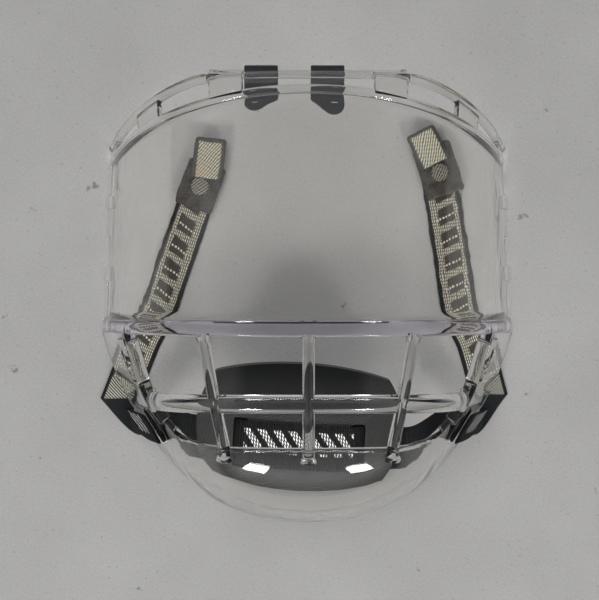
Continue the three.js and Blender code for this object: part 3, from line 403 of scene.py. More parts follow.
def lens_profile():
    """Rows as (kind, value, proud): heights from the eye line, shares of the wall, or drops from the top."""
    low = -LEDGE_DROP - LEDGE_HEIGHT / 2
    high = -LEDGE_DROP + LEDGE_HEIGHT / 2
    out = (LEDGE_THICKNESS - WALL) / 2
    outside = []
    for angle in np.radians(np.linspace(-90, 0, 6)):
        outside.append(("low", low + LEDGE_CORNER + LEDGE_CORNER * math.sin(angle),
                        out - LEDGE_CORNER + LEDGE_CORNER * math.cos(angle)))
    for share in np.linspace(0, 1, 7):
        outside.append(("low", mix(high - LEDGE_BLEND_START, high + LEDGE_BLEND_END, share),
                        out * (1 - smooth(share, 0, 1))))
    for share in np.linspace(0.04, 0.96, 9):
        outside.append(("wall", share, 0.0))
    for share in np.linspace(0, 1, 6):
        outside.append(("top", mix(BEAD_FOOT, BEAD_NECK, share), BEAD_PROUD * smooth(share, 0, 1)))
    bead = [
        ("top", BEAD_RISE - BEAD_RISE * math.sin(angle), -WALL / 2 + BEAD_HALF * math.cos(angle))
        for angle in np.radians(np.linspace(0, 180, 13))
    ]
    inside = [(kind, value, -WALL - proud) for kind, value, proud in reversed(outside)]
    return outside + bead + inside


def lens_sweep():
    turns = even_turns(turn_at_depth(RAIL), 190)
    top = lens_top(turns)
    bottom = -LEDGE_DROP + LEDGE_HEIGHT / 2 + LEDGE_BLEND_END
    rings = []
    for kind, value, proud in lens_profile():
        if kind == "low":
            y = np.full_like(turns, value)
        elif kind == "top":
            y = top - value
        else:
            y = mix(bottom, top - BEAD_FOOT, value)
        rings.append(wall_point(y, turns) + wall_normal(y, turns) * proud)
    rings = np.array(rings).transpose(1, 0, 2)
    return rings.reshape(-1, 3), swept_faces(*rings.shape[:2])


def back_edge(side):
    """The rail along the back edge of the lens and round its top corner."""
    straight = 24
    turns = np.concatenate([
        np.full(straight, turn_at_depth(RAIL)),
        [turn_at_depth(z) for z in np.linspace(2.3, BACK_CORNER + 5, 16)],
    ])
    corner = lens_top(turns) - RAIL
    y = np.concatenate([np.linspace(-15, corner[0] - 0.4, straight), corner[straight:]])
    return wall_point(y, side * turns) - wall_normal(y, side * turns) * WALL / 2


def slot_block(side, rise, length, depth, setback, thickness, corner):
    """A block with rounded corners through the side wall."""
    turn = side * turn_at_depth(setback + depth / 2)
    centre = wall_point(rise, turn) - wall_normal(rise, turn) * WALL / 2
    out = wall_normal(rise, turn)
    up = np.array([0.0, 1.0, 0.0])
    along = np.cross(out, up)
    outline = []
    for cx, cy, start in ((1, 1, 0), (-1, 1, 90), (-1, -1, 180), (1, -1, 270)):
        for angle in np.radians(np.linspace(start, start + 90, 6)):
            outline.append((cx * (depth / 2 - corner) + corner * math.cos(angle),
                            cy * (length / 2 - corner) + corner * math.sin(angle)))
    layers = [
        [centre + out * across + along * a + up * b for a, b in outline]
        for across in (-thickness / 2, thickness / 2)
    ]
    return prism_parts(layers)


# The lower shell, the cage and the flange

def route(stops):
    """A centripetal Catmull-Rom curve through the stops, called with a share or an array of shares."""
    stops = np.asarray(stops, float)
    last = len(stops) - 1

    def curve(share):
        place = np.clip(np.asarray(share, float), 0, 1) * last
        index = np.minimum(place.astype(int), last - 1)
        t = (place - index)[..., None]
        p1, p2 = stops[index], stops[index + 1]
        before = np.where(index[..., None] > 0, stops[np.maximum(index - 1, 0)], 2 * stops[0] - stops[1])
        after = np.where(
            index[..., None] + 2 <= last, stops[np.minimum(index + 2, last)], 2 * stops[-1] - stops[-2]
        )
        d0, d1, d2 = (
            np.sqrt(np.linalg.norm(b - a, axis=-1, keepdims=True))
            for a, b in ((before, p1), (p1, p2), (p2, after))
        )
        m1 = ((p1 - before) / d0 - (p2 - before) / (d0 + d1) + (p2 - p1) / d1) * d1
        m2 = ((p2 - p1) / d1 - (after - p1) / (d1 + d2) + (after - p2) / d2) * d1
        return (
            p1 + m1 * t + (-3 * p1 + 3 * p2 - 2 * m1 - m2) * t ** 2 + (2 * p1 - 2 * p2 + m1 + m2) * t ** 3
        )

    return curve


def bezier(a, b, c, d, steps):
    t = np.linspace(0, 1, steps + 1)[:, None]
    return a * (1 - t) ** 3 + 3 * b * t * (1 - t) ** 2 + 3 * c * t ** 2 * (1 - t) + d * t ** 3


def bar_bend(share):
    return (1 - np.clip(share, 0, 1) ** BAR_EXPONENT) ** (1 / BAR_EXPONENT)


def guard_top(share):
    drop, half, end, depth = GUARD_TOP
    return np.array([half * share, -drop, mix(end, depth, bar_bend(share))])


def crossbar_point(x):
    drop, end_drop, half, end, depth = CROSSBAR
    share = np.minimum(np.abs(x) / half, 1)
    return np.stack([x, -mix(drop, end_drop, share ** 2), mix(end, depth, bar_bend(share))], axis=-1)


def both_sides(stops):
    stops = np.asarray(stops, float)
    return np.concatenate([stops, stops[-2::-1] * [-1, 1, 1]])


INNER_STOPS = np.array([
    [0.81, 0.152, 0.52], [0.78, 0.255, 0.515], [0.738, 0.393, 0.505], [0.688, 0.477, 0.55],
    [0.636, 0.542, 0.572], [0.583, 0.591, 0.608], [0.487, 0.611, 0.765],
]) * [HALF_WIDTH, -CHIN_DROP, DEPTH]
RIM_STOPS = np.array([
    [1.015, 0.152, 0.012], [0.984, 0.245, 0.034], [0.924, 0.383, 0.06], [0.866, 0.48, 0.118],
    [0.8, 0.561, 0.168], [0.726, 0.667, 0.22], [0.6, 0.795, 0.31],
    [0.446, 0.9, 0.382], [0.229, 0.977, 0.436], [0, 1, 0.455],
]) * [HALF_WIDTH, -CHIN_DROP, DEPTH]
INNER_STOPS = np.concatenate([INNER_STOPS, [guard_top(share) for share in (0.594, 0.3, 0)]])
inner_edge = route(both_sides(INNER_STOPS))
rim_edge = route(both_sides(RIM_STOPS))


def shell_point(row, share):
    """Row from 0 to 18 round the chin, share from the inner edge to the rim, as in the solids."""
    row, share = np.broadcast_arrays(np.asarray(row, float), np.asarray(share, float))
    start, end = inner_edge(row / LAST_ROW), rim_edge(row / LAST_ROW)
    nearest = np.minimum(row, LAST_ROW - row)
    roundness = smooth(nearest, 0.194 * LAST_ROW, 0.417 * LAST_ROW)[..., None]
    bulge = start + (end - start) * [0.75, 0.87, 0.06]
    middle = mix((start + end) / 2, bulge, roundness)
    t = np.minimum(share, 1)[..., None]
    point = start * (1 - t) ** 2 + middle * 2 * t * (1 - t) + end * t ** 2
    past = np.maximum(share - 1, 0)[..., None] * np.linalg.norm(end - start, axis=-1, keepdims=True)
    return point + unit(end - middle) * past


def shell_normal(row, share):
    nudge = 0.05
    row, share = np.broadcast_arrays(np.asarray(row, float), np.asarray(share, float))
    along = shell_point(row + nudge, share) - shell_point(row - nudge, share)
    across = shell_point(row, np.minimum(share + nudge, 1)) - shell_point(row, share - nudge)
    normal = unit(np.cross(along, across))
    away = shell_point(row, share) * [1, 0, 0] + [0, -CHIN_DROP / 2, DEPTH / 2]
    return normal * np.where((normal * away).sum(axis=-1, keepdims=True) < 0, -1, 1)


def flared(points, flare, reach):
    """Widths along a bar that spread into what it meets at both ends."""
    run = run_along(points)
    nearest = np.minimum(run, run[-1] - run)
    return 1 + flare * np.exp(-((nearest / reach) ** 2))


def upright_parts(side):
    high, middle, low = (side * x for x in UPRIGHTS)
    turn = (side if side else 1) * turn_across(abs(high))
    top = wall_point(-LEDGE_DROP - LEDGE_HEIGHT / 2 + 1, turn) - wall_normal(0, turn) * WALL / 2
    foot = guard_top(abs(low) / GUARD_TOP[1]) * [side, 1, 1] + [0, 0, UPRIGHT_TAIL]
    end = foot + [0, -UPRIGHT_THICKNESS, -UPRIGHT_TAIL]
    points = route([top, crossbar_point(np.array(middle)), foot, end])(np.linspace(0, 1, 70))
    ends = flared(points, BAR_FLARE, UPRIGHT_FLARE_REACH)
    return tube_parts(points, UPRIGHT_THICKNESS, UPRIGHT_THICKNESS, (0, 0, 1), 28, ends)


def crossbar_parts():
    x = np.linspace(-1, 1, 181)
    x = np.sign(x) * (1 - (1 - np.abs(x)) ** 1.5) * (CROSSBAR[2] - CROSSBAR_OVERRUN)
    points = crossbar_point(x)
    ends = flared(points, BAR_FLARE, CROSSBAR_FLARE_REACH)
    return tube_parts(points, CROSSBAR_THICKNESS, CROSSBAR_HEIGHT, (0, 1, 0), 32, ends)


def window_block(side):
    """The side window, between the rim strip, the side bar and the ledge, with rounded corners."""
    top, bottom = WINDOW_DROPS
    front = INNER_STOPS[0][2] - 2 * SIDE_BAR
    corners = [(top, WINDOW_BACKS[0]), (top, front), (bottom, front), (bottom, WINDOW_BACKS[1])]
    outline = rounded(corners, WINDOW_CORNER, 7)
    return prism_parts([[(side * x, -drop, z) for drop, z in outline] for x in WINDOW_REACH])


def rounded(corners, radius, steps):
    """An outline with its corners cut to arcs."""
    corners = [np.array(corner, float) for corner in corners]
    outline = []
    for index, corner in enumerate(corners):
        before = unit(corners[index - 1] - corner)
        after = unit(corners[(index + 1) % len(corners)] - corner)
        start, end = corner + before * radius, corner + after * radius
        for t in np.linspace(0, 1, steps):
            outline.append(start * (1 - t) ** 2 + corner * 2 * t * (1 - t) + end * t ** 2)
    return outline


def rounded_block(half, low, high, radius, steps):
    """An oblong from low to high, with rounded corners."""
    return rounded([(-half, low), (half, low), (half, high), (-half, high)], radius, steps)


def band_slot(side):
    """Centre, direction along the rows, outward normal and direction across of the webbing's slot."""
    row = TAB_ROW if side > 0 else LAST_ROW - TAB_ROW
    centre = shell_point(row, BAND_SLOT_SHARE)
    along = unit(shell_point(row + 0.9, BAND_SLOT_SHARE) - shell_point(row - 0.9, BAND_SLOT_SHARE))
    along = along if along[1] < 0 else -along
    normal = shell_normal(row, BAND_SLOT_SHARE)
    return centre, along, normal, unit(np.cross(normal, along))


def band_slot_block(side):
    centre, along, normal, across = band_slot(side)
    radius = BAND_SLOT_RADIUS
    outline = []
    for turn in np.linspace(0, 2 * math.pi, 28, endpoint=False):
        reach = math.copysign(BAND_SLOT_HALF - radius, math.cos(turn)) + radius * math.cos(turn)
        outline.append(along * reach + across * radius * math.sin(turn))
    return prism_parts([[centre + normal * out + point for point in outline] for out in BAND_SLOT_REACH])


def flange_inner(turn):
    y = lens_top(turn) - BEAD_RISE
    return wall_point(y, turn) - wall_normal(y, turn) * (WALL / 2)


def flange_outer(turn):
    angle = np.abs(turn) * math.pi / 2
    fade = np.maximum(np.cos(angle), 0) ** 0.35
    x, _, z = np.moveaxis(flange_inner(turn), -1, 0)
    x = x + np.sign(turn) * np.sin(angle) * (FLANGE_SETBACK * FLARE / DEPTH * 1.5) * fade
    dip = FLANGE_DIP * smooth(np.abs(x), FLANGE_DIP_START, FLANGE_DIP_END)
    fall = FLANGE_FALL * np.maximum(np.abs(x) - FLANGE_FALL_START, 0) ** FLANGE_FALL_EXPONENT
    return np.stack([x, FLANGE_TOP - dip - fall, z - FLANGE_SETBACK * fade], axis=-1)


def web_between(inner, outer):
    """A plate of the wall's thickness between two lines."""
    grid = np.array([mix(inner, outer, share) for share in np.linspace(0, 1, 6)])
    return sheet_parts(grid, WALL, WALL / 2)


def flange_web(start, end):
    turns = np.linspace(start, end, 12)
    return web_between(flange_inner(turns), flange_outer(turns))


def flange_parts():
    last = turn_at_depth(FLANGE_END)
    points = flange_outer(even_turns(last, 260, 92.0))
    wide = 1 + FLANGE_SWELL * smooth(np.abs(points[:, 0]), FLANGE_DIP_START, FLANGE_DIP_END)
    parts = [tube_parts(points, FLANGE_ROUND, FLANGE_ROUND, (0, 1, 0), 20, wide)]
    centre = [turn_across(x) for x in CENTRE_WEB]
    corner = [turn_across(x) for x in CORNER_WEB]
    for side in (-1, 1):
        for start, end in (centre, corner, (LAST_WEB_SHARE, last)):
            parts.append(flange_web(side * start, side * end))
        rail = flange_outer(side * np.linspace(*centre, 8))
        parts.append(web_between(rail * [1, 0, 0] + [0, BAR_RISE, BAR_DEPTH], rail))
    reach = flange_outer(np.array(centre[1]))[0]
    bar = np.linspace([-reach, BAR_RISE, BAR_DEPTH], [reach, BAR_RISE, BAR_DEPTH], 60)
    ends = flared(bar, BAR_END_FLARE, BAR_FLARE_REACH)
    parts.append(tube_parts(bar, BAR_ROUND, BAR_ROUND, (0, 1, 0), 24, ends))
    return parts


def edge_parts():
    """The rails along the back edges, and the bosses between the side slots."""
    parts = [tube_parts(back_edge(side), 2 * RAIL, 2 * RAIL, (side, 0, 0), 20) for side in (-1, 1)]
    for side in (-1, 1):
        for rise, length in BOSSES:
            boss = slot_block(side, rise, length, BOSS_DEPTH, BOSS_SETBACK, BOSS_THICKNESS, BOSS_CORNER)
            parts.append(boss)
    return parts


def cage_parts():
    """The side bars, the uprights, the crossbar and the bead along the guard's top."""
    parts = []
    for side in (-1, 1):
        points = inner_edge(np.linspace(0, SIDE_BAR_ROWS, 50) / LAST_ROW) * [side, 1, 1]
        points = np.concatenate([points[:1] + [0, SIDE_BAR_OVERRUN, 0], points])
        parts.append(tube_parts(points, 2 * SIDE_BAR, 2 * SIDE_BAR, (0, 0, 1), 24))
        parts.append(upright_parts(side))
    parts.append(upright_parts(0))
    parts.append(crossbar_parts())
    rows = np.linspace(BEAD_ROWS, LAST_ROW - BEAD_ROWS, 150)
    bead = shell_point(rows, 0) - shell_normal(rows, 0.04) * WALL / 2 - [0, GUARD_BEAD_DROP, 0]
    parts.append(tube_parts(bead, GUARD_BEAD_THICKNESS, GUARD_BEAD_HEIGHT, (0, 1, 0), 16))
    return parts


def lower_shell():
    rows = np.linspace(0, LAST_ROW, 241)
    lower = piece("lower_shell", *sheet_parts(shell_point(rows, np.linspace(0, 1, 25)[:, None]), WALL))
    for side in (-1, 1):
        boolean(lower, piece("window", *window_block(side)), "DIFFERENCE")
    for part in cage_parts():
        boolean(lower, piece("bar", *part), "UNION")
    for side in (-1, 1):
        boolean(lower, piece("band_slot", *band_slot_block(side)), "DIFFERENCE")
    return lower


def clear_shield():
    shield = piece("shield", *lens_sweep())
    boolean(shield, lower_shell(), "UNION")
    for part in edge_parts():
        boolean(shield, piece("edge", *part), "UNION")
    for side in (-1, 1):
        for rise, length in SLOTS:
            slot = slot_block(side, rise, length, SLOT_DEPTH, SLOT_SETBACK, SLOT_CUT, SLOT_CORNER)
            boolean(shield, piece("slot", *slot), "DIFFERENCE")
    boolean(shield, fused("flange", flange_parts(), 0.5), "UNION")
    soften(shield, 38)
    return shield


# Webbing, cup, straps and their ends

def with_uv(made, places):
    """Lays a pattern's coordinates, in millimetres, on a mesh: one pair for each vertex."""
    mesh = made.data
    layer = mesh.uv_layers.new(name="pattern")
    index = np.empty(len(mesh.loops), dtype=np.int64)
    mesh.loops.foreach_get("vertex_index", index)
    layer.data.foreach_set("uv", np.asarray(places, float).reshape(-1, 2)[index].ravel())
    return made


def ribbon_grid(name, grid, thickness, run, width):
    """A woven sheet of a thickness round a grid whose rows run along it."""
    normals = grid_normals(grid)
    across = np.linspace(-0.5, 0.5, grid.shape[1])
    near = (0.5 - np.abs(across)) * width
    edge = 0.45 * thickness
    full = np.sqrt(np.clip(1 - (1 - np.clip(near / edge, 0, 1)) ** 2, 0.04, 1))
    lift = normals * (thickness / 2 * full)[None, :, None]
    made = piece(name, *slab_parts(grid + lift, grid - lift), 50)
    place = np.stack(np.broadcast_arrays((across * width)[None, :], run[:, None]), axis=-1)
    return with_uv(made, np.concatenate([place.reshape(-1, 2)] * 2))


def cup_place(x, y, z):
    """A point of the turned cup, given outward from its middle."""
    x, y, z = np.broadcast_arrays(x, y, z)
    c, s = math.cos(CUP_TURN), math.sin(CUP_TURN)
    return np.stack([CUP_X + x * c - y * s, x * s + y * c - CUP_DROP, z], axis=-1)


def cup_front(x, y):
    return CUP_CROWN - CUP_END * (x / CUP_HALF) ** 2 - CUP_EDGE * (y / CUP_RISE) ** 4


def cup_points(across, up, lift):
    """The cup's front as a grid, raised by what lift gives at each place."""
    u, v = np.meshgrid(np.linspace(-1, 1, across), np.linspace(-1, 1, up))
    x = CUP_HALF * u * np.sqrt(1 - CUP_SIDE_TAPER_SHARE * v ** 2)
    y = CUP_RISE * v * np.sqrt(1 - CUP_TOP_TAPER_SHARE * u ** 2)
    return cup_place(x, y, cup_front(x, y) + lift(x, y))


def cup_shell():
    front = cup_points(121, 81, lambda x, y: 0.0)
    back = cup_points(121, 81, lambda x, y: -CUP_WALL)
    made = piece("cup_shell", *slab_parts(front, back), 40)
    outline = rounded_block(CUP_SLOT_HALF, -CUP_SLOT_RISE, CUP_SLOT_RISE, CUP_SLOT_CORNER, 6)
    for side in (-1, 1):
        layers = [
            [cup_place(side * CUP_SLOT + a, BAND_ON_CUP + b, z) for a, b in outline] for z in (20, 100)
        ]
        boolean(made, piece("slot", *prism_parts(layers)), "DIFFERENCE")
    soften(made, 40)
    return made


def cup_lining():
    """The pad behind the shell, with a channel for the webbing in front and a seam line behind."""
    level = -CUP_WALL - SOFT_GAP

    def front(x, y):
        inside = smooth(np.abs(x), CHANNEL_START, CHANNEL_END)
        beside = smooth(np.abs(y - BAND_ON_CUP) - BAND_WIDTH / 2, *CHANNEL_SIDES)
        return level - CHANNEL_DEPTH * inside * (1 - beside)

    def back(x, y):
        rim = np.maximum(np.abs(x / CUP_HALF), np.abs(y / CUP_RISE))
        crown = np.sqrt(np.maximum(1 - rim ** 4, 0))
        seam = np.exp(-((rim - SEAM_SHARE) / SEAM_WIDTH_SHARE) ** 2)
        depth = mix(LINING_EDGE_SHARE, 1, crown) * LINING_THICKNESS
        return level - CHANNEL_DEPTH - depth + LINING_SEAM * seam

    return piece("cup_lining", *slab_parts(cup_points(101, 71, front), cup_points(101, 71, back)), 60)


def band_level(x):
    """The webbing's middle above the cup's front: before it between the slots, behind it at the ends."""
    behind = smooth(np.abs(x), CUP_SLOT - BAND_SLOPE, CUP_SLOT + BAND_SLOPE)
    return mix(SOFT_GAP + BAND_THICK / 2, -CUP_WALL - SOFT_GAP - BAND_THICK / 2, behind)


def band_front():
    x = np.linspace(-BAND_FRONT_HALF, BAND_FRONT_HALF, 181)
    x_way, y_way = x[:, None], BAND_ON_CUP + np.linspace(-0.5, 0.5, 15)[None, :] * BAND_WIDTH
    grid = cup_place(x_way, y_way, cup_front(x_way, y_way) + band_level(x)[:, None])
    return ribbon_grid("chin_band", grid, BAND_THICK, x, BAND_WIDTH)


def band_side(side):
    """The webbing from behind the cup, out to the shield's slot and through it."""
    centre, along, normal, _ = band_slot(side)
    middle = centre - normal * WALL / 2
    x = np.linspace(BAND_FRONT_HALF, BAND_UNDER_END, 20)
    columns = []
    for share in np.linspace(-0.5, 0.5, 15):
        wide = share * BAND_WIDTH
        y = BAND_ON_CUP + wide
        under = cup_place(side * x, y, cup_front(x, y) + band_level(x))
        start = under[-1]
        ahead = unit(under[-1] - under[-2]) * [1, 1, 0.3]
        slot = middle - along * wide
        inside = slot - normal * WALL
        lead = BAND_LEAD_SHARE * np.linalg.norm(start - inside)
        air = bezier(start, start + ahead * lead, inside - normal * lead, inside, 36)
        through = [slot + normal * out for out in (-WALL / 2, 0, 1.4, WALL)]
        columns.append(np.concatenate([under, air[1:], through]))
    grid = np.array(columns).transpose(1, 0, 2)
    run = BAND_FRONT_HALF + run_along(grid[:, 7])
    return ribbon_grid(f"band_{SIDE_NAMES[side]}", grid, BAND_THICK, run, BAND_WIDTH)


def row_span(width, share):
    """How many rows half of a width takes, at shares of the way down the wall."""
    apart = shell_point(TAB_ROW + 1, share) - shell_point(TAB_ROW - 1, share)
    return width / np.linalg.norm(apart, axis=-1)


def tab_middle(share):
    """The end tab's middle row, which slants toward the ledge from the slot to the tab's end."""
    return TAB_ROW - TAB_SLANT_ROWS * (share - TAB_SHARES[0]) / (TAB_SHARES[1] - TAB_SHARES[0])


def tab_point(row, share):
    """A point of the end tab's middle, outside the wall; past the rim it keeps on straight."""
    return shell_point(row, share) + shell_normal(row, np.minimum(share, 0.9)) * END_TAB_LIFT


def band_end(side):
    shares = np.linspace(*TAB_SHARES, 40)[:, None]
    rows = tab_middle(shares) + row_span(BAND_WIDTH, shares) * np.linspace(-1, 1, 17)[None, :]
    grid = tab_point(rows, shares) * [side, 1, 1]
    return ribbon_grid(f"band_end_{SIDE_NAMES[side]}", grid, BAND_THICK, run_along(grid[:, 8]), BAND_WIDTH)


def side_strap(side):
    """A strap from its top, down the floor and up to the end tab, with its pattern's start at the fold."""
    top, knee, hinge, fold = (np.array([x, y, STRAP_THICK / 2]) for x, y in STRAPS[side])
    share = np.linspace(0, 1, 150)
    middle = route([top, (top + knee) / 2, knee, hinge, fold])(share)
    heading = unit(np.gradient(middle, axis=0))
    way = np.stack([-heading[:, 1], heading[:, 0], 0 * heading[:, 0]], axis=-1)
    level = smooth(share, 0.8, 1)[:, None] * way[:, 1:2] / heading[:, 1:2]
    end_share = TAB_SHARES[1]
    span = row_span(STRAP_WIDTH, end_share)
    columns = []
    for place in np.linspace(-0.5, 0.5, 15):
        floor = middle + (way - heading * level) * place * STRAP_WIDTH
        row = tab_middle(end_share) + 2 * place * span
        seat = tab_point(row, end_share)
        seat = seat - unit(tab_point(row, 1.0) - seat) * 0.6
        leave, head = (mix(inner, outer, place + 0.5) for inner, outer in (FOLD_LEAVES, FOLD_HEADS))
        rise = bezier(floor[-1], floor[-1] + leave, head, seat, 40)
        columns.append(np.concatenate([floor, rise[1:]]))
    grid = np.array(columns).transpose(1, 0, 2) * [side, 1, 1]
    run = run_along(grid[:, 7])
    run = run - run[len(middle) - 1]
    return ribbon_grid(f"strap_{SIDE_NAMES[side]}", grid, STRAP_THICK, run, STRAP_WIDTH)


def fastening_frame(side):
    """Where the snap sits on a strap, and the directions up and across the strap there."""
    top, knee = (np.array([side * x, y, 0.0]) for x, y in STRAPS[side][:2])
    down = unit(knee - top)
    return top + down * SNAP_DROP, -down, np.array([-down[1], down[0], 0.0])


def turned(up, degrees):
    turn = math.radians(degrees)
    c, s = math.cos(turn), math.sin(turn)
    return np.array([up[0] * c - up[1] * s, up[0] * s + up[1] * c, 0.0])


def plate(name, centre, up, low, high, half, level, thickness):
    """A soft plate from low to high along up, with rounded corners and its pattern in millimetres."""
    side_way = np.array([up[1], -up[0], 0.0])
    outline = np.array(rounded_block(half, low, high, PLATE_CORNER, 7))
    core = np.array([0.0, (low + high) / 2])
    shares = np.concatenate([np.linspace(0.0, 0.9, 16)[1:], [0.94, 0.97, 0.99, 1.0]])
    flat = core + (outline - core) * shares[:, None, None]
    near = (1 - shares) * half
    rim = np.sqrt(np.clip(1 - (1 - np.clip(near / (thickness / 2), 0, 1)) ** 2, 0, 1))
    rise = thickness / 2 * rim

    def placed(height):
        spot = flat[:len(height)]
        lift = np.broadcast_to(height[:, None], spot.shape[:2])
        return centre + side_way * spot[..., :1] + up * spot[..., 1:] + lift[..., None] * [0, 0, 1]

    tops = placed(level + thickness / 2 + rise)
    bottoms = placed((level + thickness / 2 - rise)[:-1])
    middles = [centre + up * core[1] + [0, 0, height] for height in (level + thickness, level)]
    points = np.concatenate([tops.reshape(-1, 3), bottoms.reshape(-1, 3), middles])
    uv = np.concatenate([flat.reshape(-1, 2), flat[:-1].reshape(-1, 2), [core, core]])
    rows, count = len(shares), len(outline)
    low_start = rows * count
    faces = grid_faces(rows, count, closed_columns=True)
    faces += grid_faces(rows - 1, count, closed_columns=True, offset=low_start)
    for index in range(count):
        after = (index + 1) % count
        faces.append((index, after, len(points) - 2))
        faces.append((low_start + index, low_start + after, len(points) - 1))
        edge, low_edge = (rows - 1) * count, low_start + (rows - 2) * count
        faces.append((edge + index, edge + after, low_edge + after, low_edge + index))
    return with_uv(piece(name, points, faces, 55), uv)


def snap_cap(side):
    centre, up, across = fastening_frame(side)
    count = 64
    radii = CAP_RADIUS * np.array([1, 1.0, 1.0, 0.985, 0.955, 0.9, 0.82, 0.7, 0.5, 0.25])
    heights = CAP_HEIGHT * np.array([0, 0.15, 0.35, 0.55, 0.7, 0.82, 0.9, 0.96, 0.99, 1.0])
    angles = np.linspace(0, 2 * math.pi, count, endpoint=False)
    rings = np.stack([
        centre[0] + radii[:, None] * np.cos(angles), centre[1] + radii[:, None] * np.sin(angles),
        CAP_LEVEL + heights[:, None] + 0 * angles,
    ], axis=-1)
    middles = [centre + [0, 0, height] for height in (CAP_LEVEL + CAP_HEIGHT, CAP_LEVEL)]
    points = np.concatenate([rings.reshape(-1, 3), middles])
    faces = grid_faces(len(radii), count, closed_columns=True)
    last = (len(radii) - 1) * count
    for index in range(count):
        after = (index + 1) % count
        faces.append((last + index, last + after, len(points) - 2))
        faces.append((index, after, len(points) - 1))
    made = piece(f"snap_cap_cloth_{SIDE_NAMES[side]}", points, faces, 60)
    local = points - centre
    return with_uv(made, np.stack([local @ across, local @ up], axis=-1))


def arc(start, bend, end):
    t = np.linspace(0, 1, 8)[:, None]
    start, bend, end = (np.array(p, float) for p in (start, bend, end))
    return [tuple(p) for p in start * (1 - t) ** 2 + 2 * bend * t * (1 - t) + end * t ** 2]


def loop_parts(side, centre_x):
    """A loop round the bar, and its tab."""
    half, low = LOOP_HALF, -LOOP_TAB_LENGTHS[side]
    section = rounded_block(half, LOOP_INNER, LOOP_OUTER, LOOP_CORNER, 4)
    ring = np.array([[
        (centre_x + a, BAR_RISE + r * math.cos(t), BAR_DEPTH + r * math.sin(t)) for a, r in section
    ] for t in np.linspace(0, 2 * math.pi, 64, endpoint=False)])
    ring_faces = grid_faces(64, len(section), closed_rows=True, closed_columns=True)
    outline = [
        (half, LOOP_TAB_START), (-half, LOOP_TAB_START), (-half, 0.56 * low),
        *arc((-half, 0.56 * low), (-7.6, 0.63 * low), (-5.6, 0.72 * low)),
        *arc((-0.6, 0.93 * low), (2.6, 1.06 * low), (6, 0.95 * low)),
        *arc((6, 0.95 * low), (half, 0.88 * low), (half, 0.74 * low)),
    ]
    tab = [
        [(centre_x + side * a, BAR_RISE + b, BAR_DEPTH + z) for a, b in outline]
        for z in (-LOOP_TAB_HALF_THICK, LOOP_TAB_HALF_THICK)
    ]
    return [(ring.reshape(-1, 3), ring_faces), prism_parts(tab)]


def top_loop(side, centre_x):
    made = fused(f"loop_{SIDE_NAMES[side]}", loop_parts(side, centre_x), 0.3)
    hole_x, hole_y = centre_x + side * HOLE_X, BAR_RISE - HOLE_SHARE * LOOP_TAB_LENGTHS[side]
    angles = np.linspace(0, 2 * math.pi, 24, endpoint=False)
    layers = [
        [(hole_x + HOLE_HALF * math.cos(t), hole_y + HOLE_RISE * math.sin(t), z) for t in angles]
        for z in (BAR_DEPTH - 10, BAR_DEPTH + 10)
    ]
    boolean(made, piece("hole", *prism_parts(layers)), "DIFFERENCE")
    soften(made, 40)
    return made


# Materials

def material(name, roughness=0.5, specular=0.5):
    made = bpy.data.materials.new(name)
    made.use_nodes = True
    tree = made.node_tree
    shader = tree.nodes["Principled BSDF"]
    shader.inputs["Roughness"].default_value = roughness
    shader.inputs["Specular IOR Level"].default_value = specular
    return made, tree, shader


def add(tree, kind, inputs=None, **settings):
    """A node with its settings, and with its inputs as values or as the sockets that feed them."""
    made = tree.nodes.new(kind)
    for key, value in settings.items():
        setattr(made, key, value)
    for key, value in (inputs or {}).items():
        if isinstance(value, bpy.types.NodeSocket):
            tree.links.new(value, made.inputs[key])
        else:
            made.inputs[key].default_value = value
    return made


def math_node(tree, operation, a, b=None, c=None):
    values = {index: value for index, value in enumerate((a, b, c)) if value is not None}
    return add(tree, "ShaderNodeMath", values, operation=operation).outputs[0]


def blend_colours(tree, share, a, b):
    made = add(tree, "ShaderNodeMix", {0: share}, data_type="RGBA")
    for socket, value in ((made.inputs[6], a), (made.inputs[7], b)):
        if isinstance(value, bpy.types.NodeSocket):
            tree.links.new(value, socket)
        else:
            socket.default_value = (*value, 1) if len(value) == 3 else value
    return made.outputs[2]


def noise(tree, vector, scale, detail=3.0, roughness=0.55):
    return add(tree, "ShaderNodeTexNoise", {
        "Vector": vector, "Scale": scale, "Detail": detail, "Roughness": roughness,
    }).outputs["Fac"]


def surface(tree, shader, colour, height, strength, distance):
    """A look's colour, and its relief from a height."""
    made = add(tree, "ShaderNodeBump", {"Height": height, "Strength": strength, "Distance": distance})
    tree.links.new(colour, shader.inputs["Base Color"])
    tree.links.new(made.outputs["Normal"], shader.inputs["Normal"])


def paint(made, look):
    made.data.materials.clear()
    made.data.materials.append(look)


def scaled(tree, value, by, plus=0.0):
    """by * value + plus."""
    return math_node(tree, "MULTIPLY_ADD", value, by, plus)


def ripple(tree, value, pitch):
    """A wave from 0 to 1 along a length in millimetres."""
    turn = scaled(tree, value, 2 * math.pi / pitch)
    return scaled(tree, math_node(tree, "SINE", turn), 0.5, 0.5)


def step(tree, value, low, high):
    """A soft step: 0 below low, 1 above high, or the other way round where low is above high."""
    up = high > low
    ends = (0.0, 1.0) if up else (1.0, 0.0)
    made = add(tree, "ShaderNodeMapRange", {
        "Value": value, "From Min": min(low, high), "From Max": max(low, high),
        "To Min": ends[0], "To Max": ends[1],
    }, interpolation_type="SMOOTHSTEP")
    return made.outputs[0]


def joined(tree, operation, values):
    whole = values[0]
    for value in values[1:]:
        whole = math_node(tree, operation, whole, value)
    return whole


def times(tree, *values):
    return joined(tree, "MULTIPLY", values)


def highest(tree, *values):
    return joined(tree, "MAXIMUM", values)


def within(tree, value, low, high, soft=0.15):
    above = step(tree, value, low - soft, low + soft)
    return times(tree, above, step(tree, value, high + soft, high - soft))


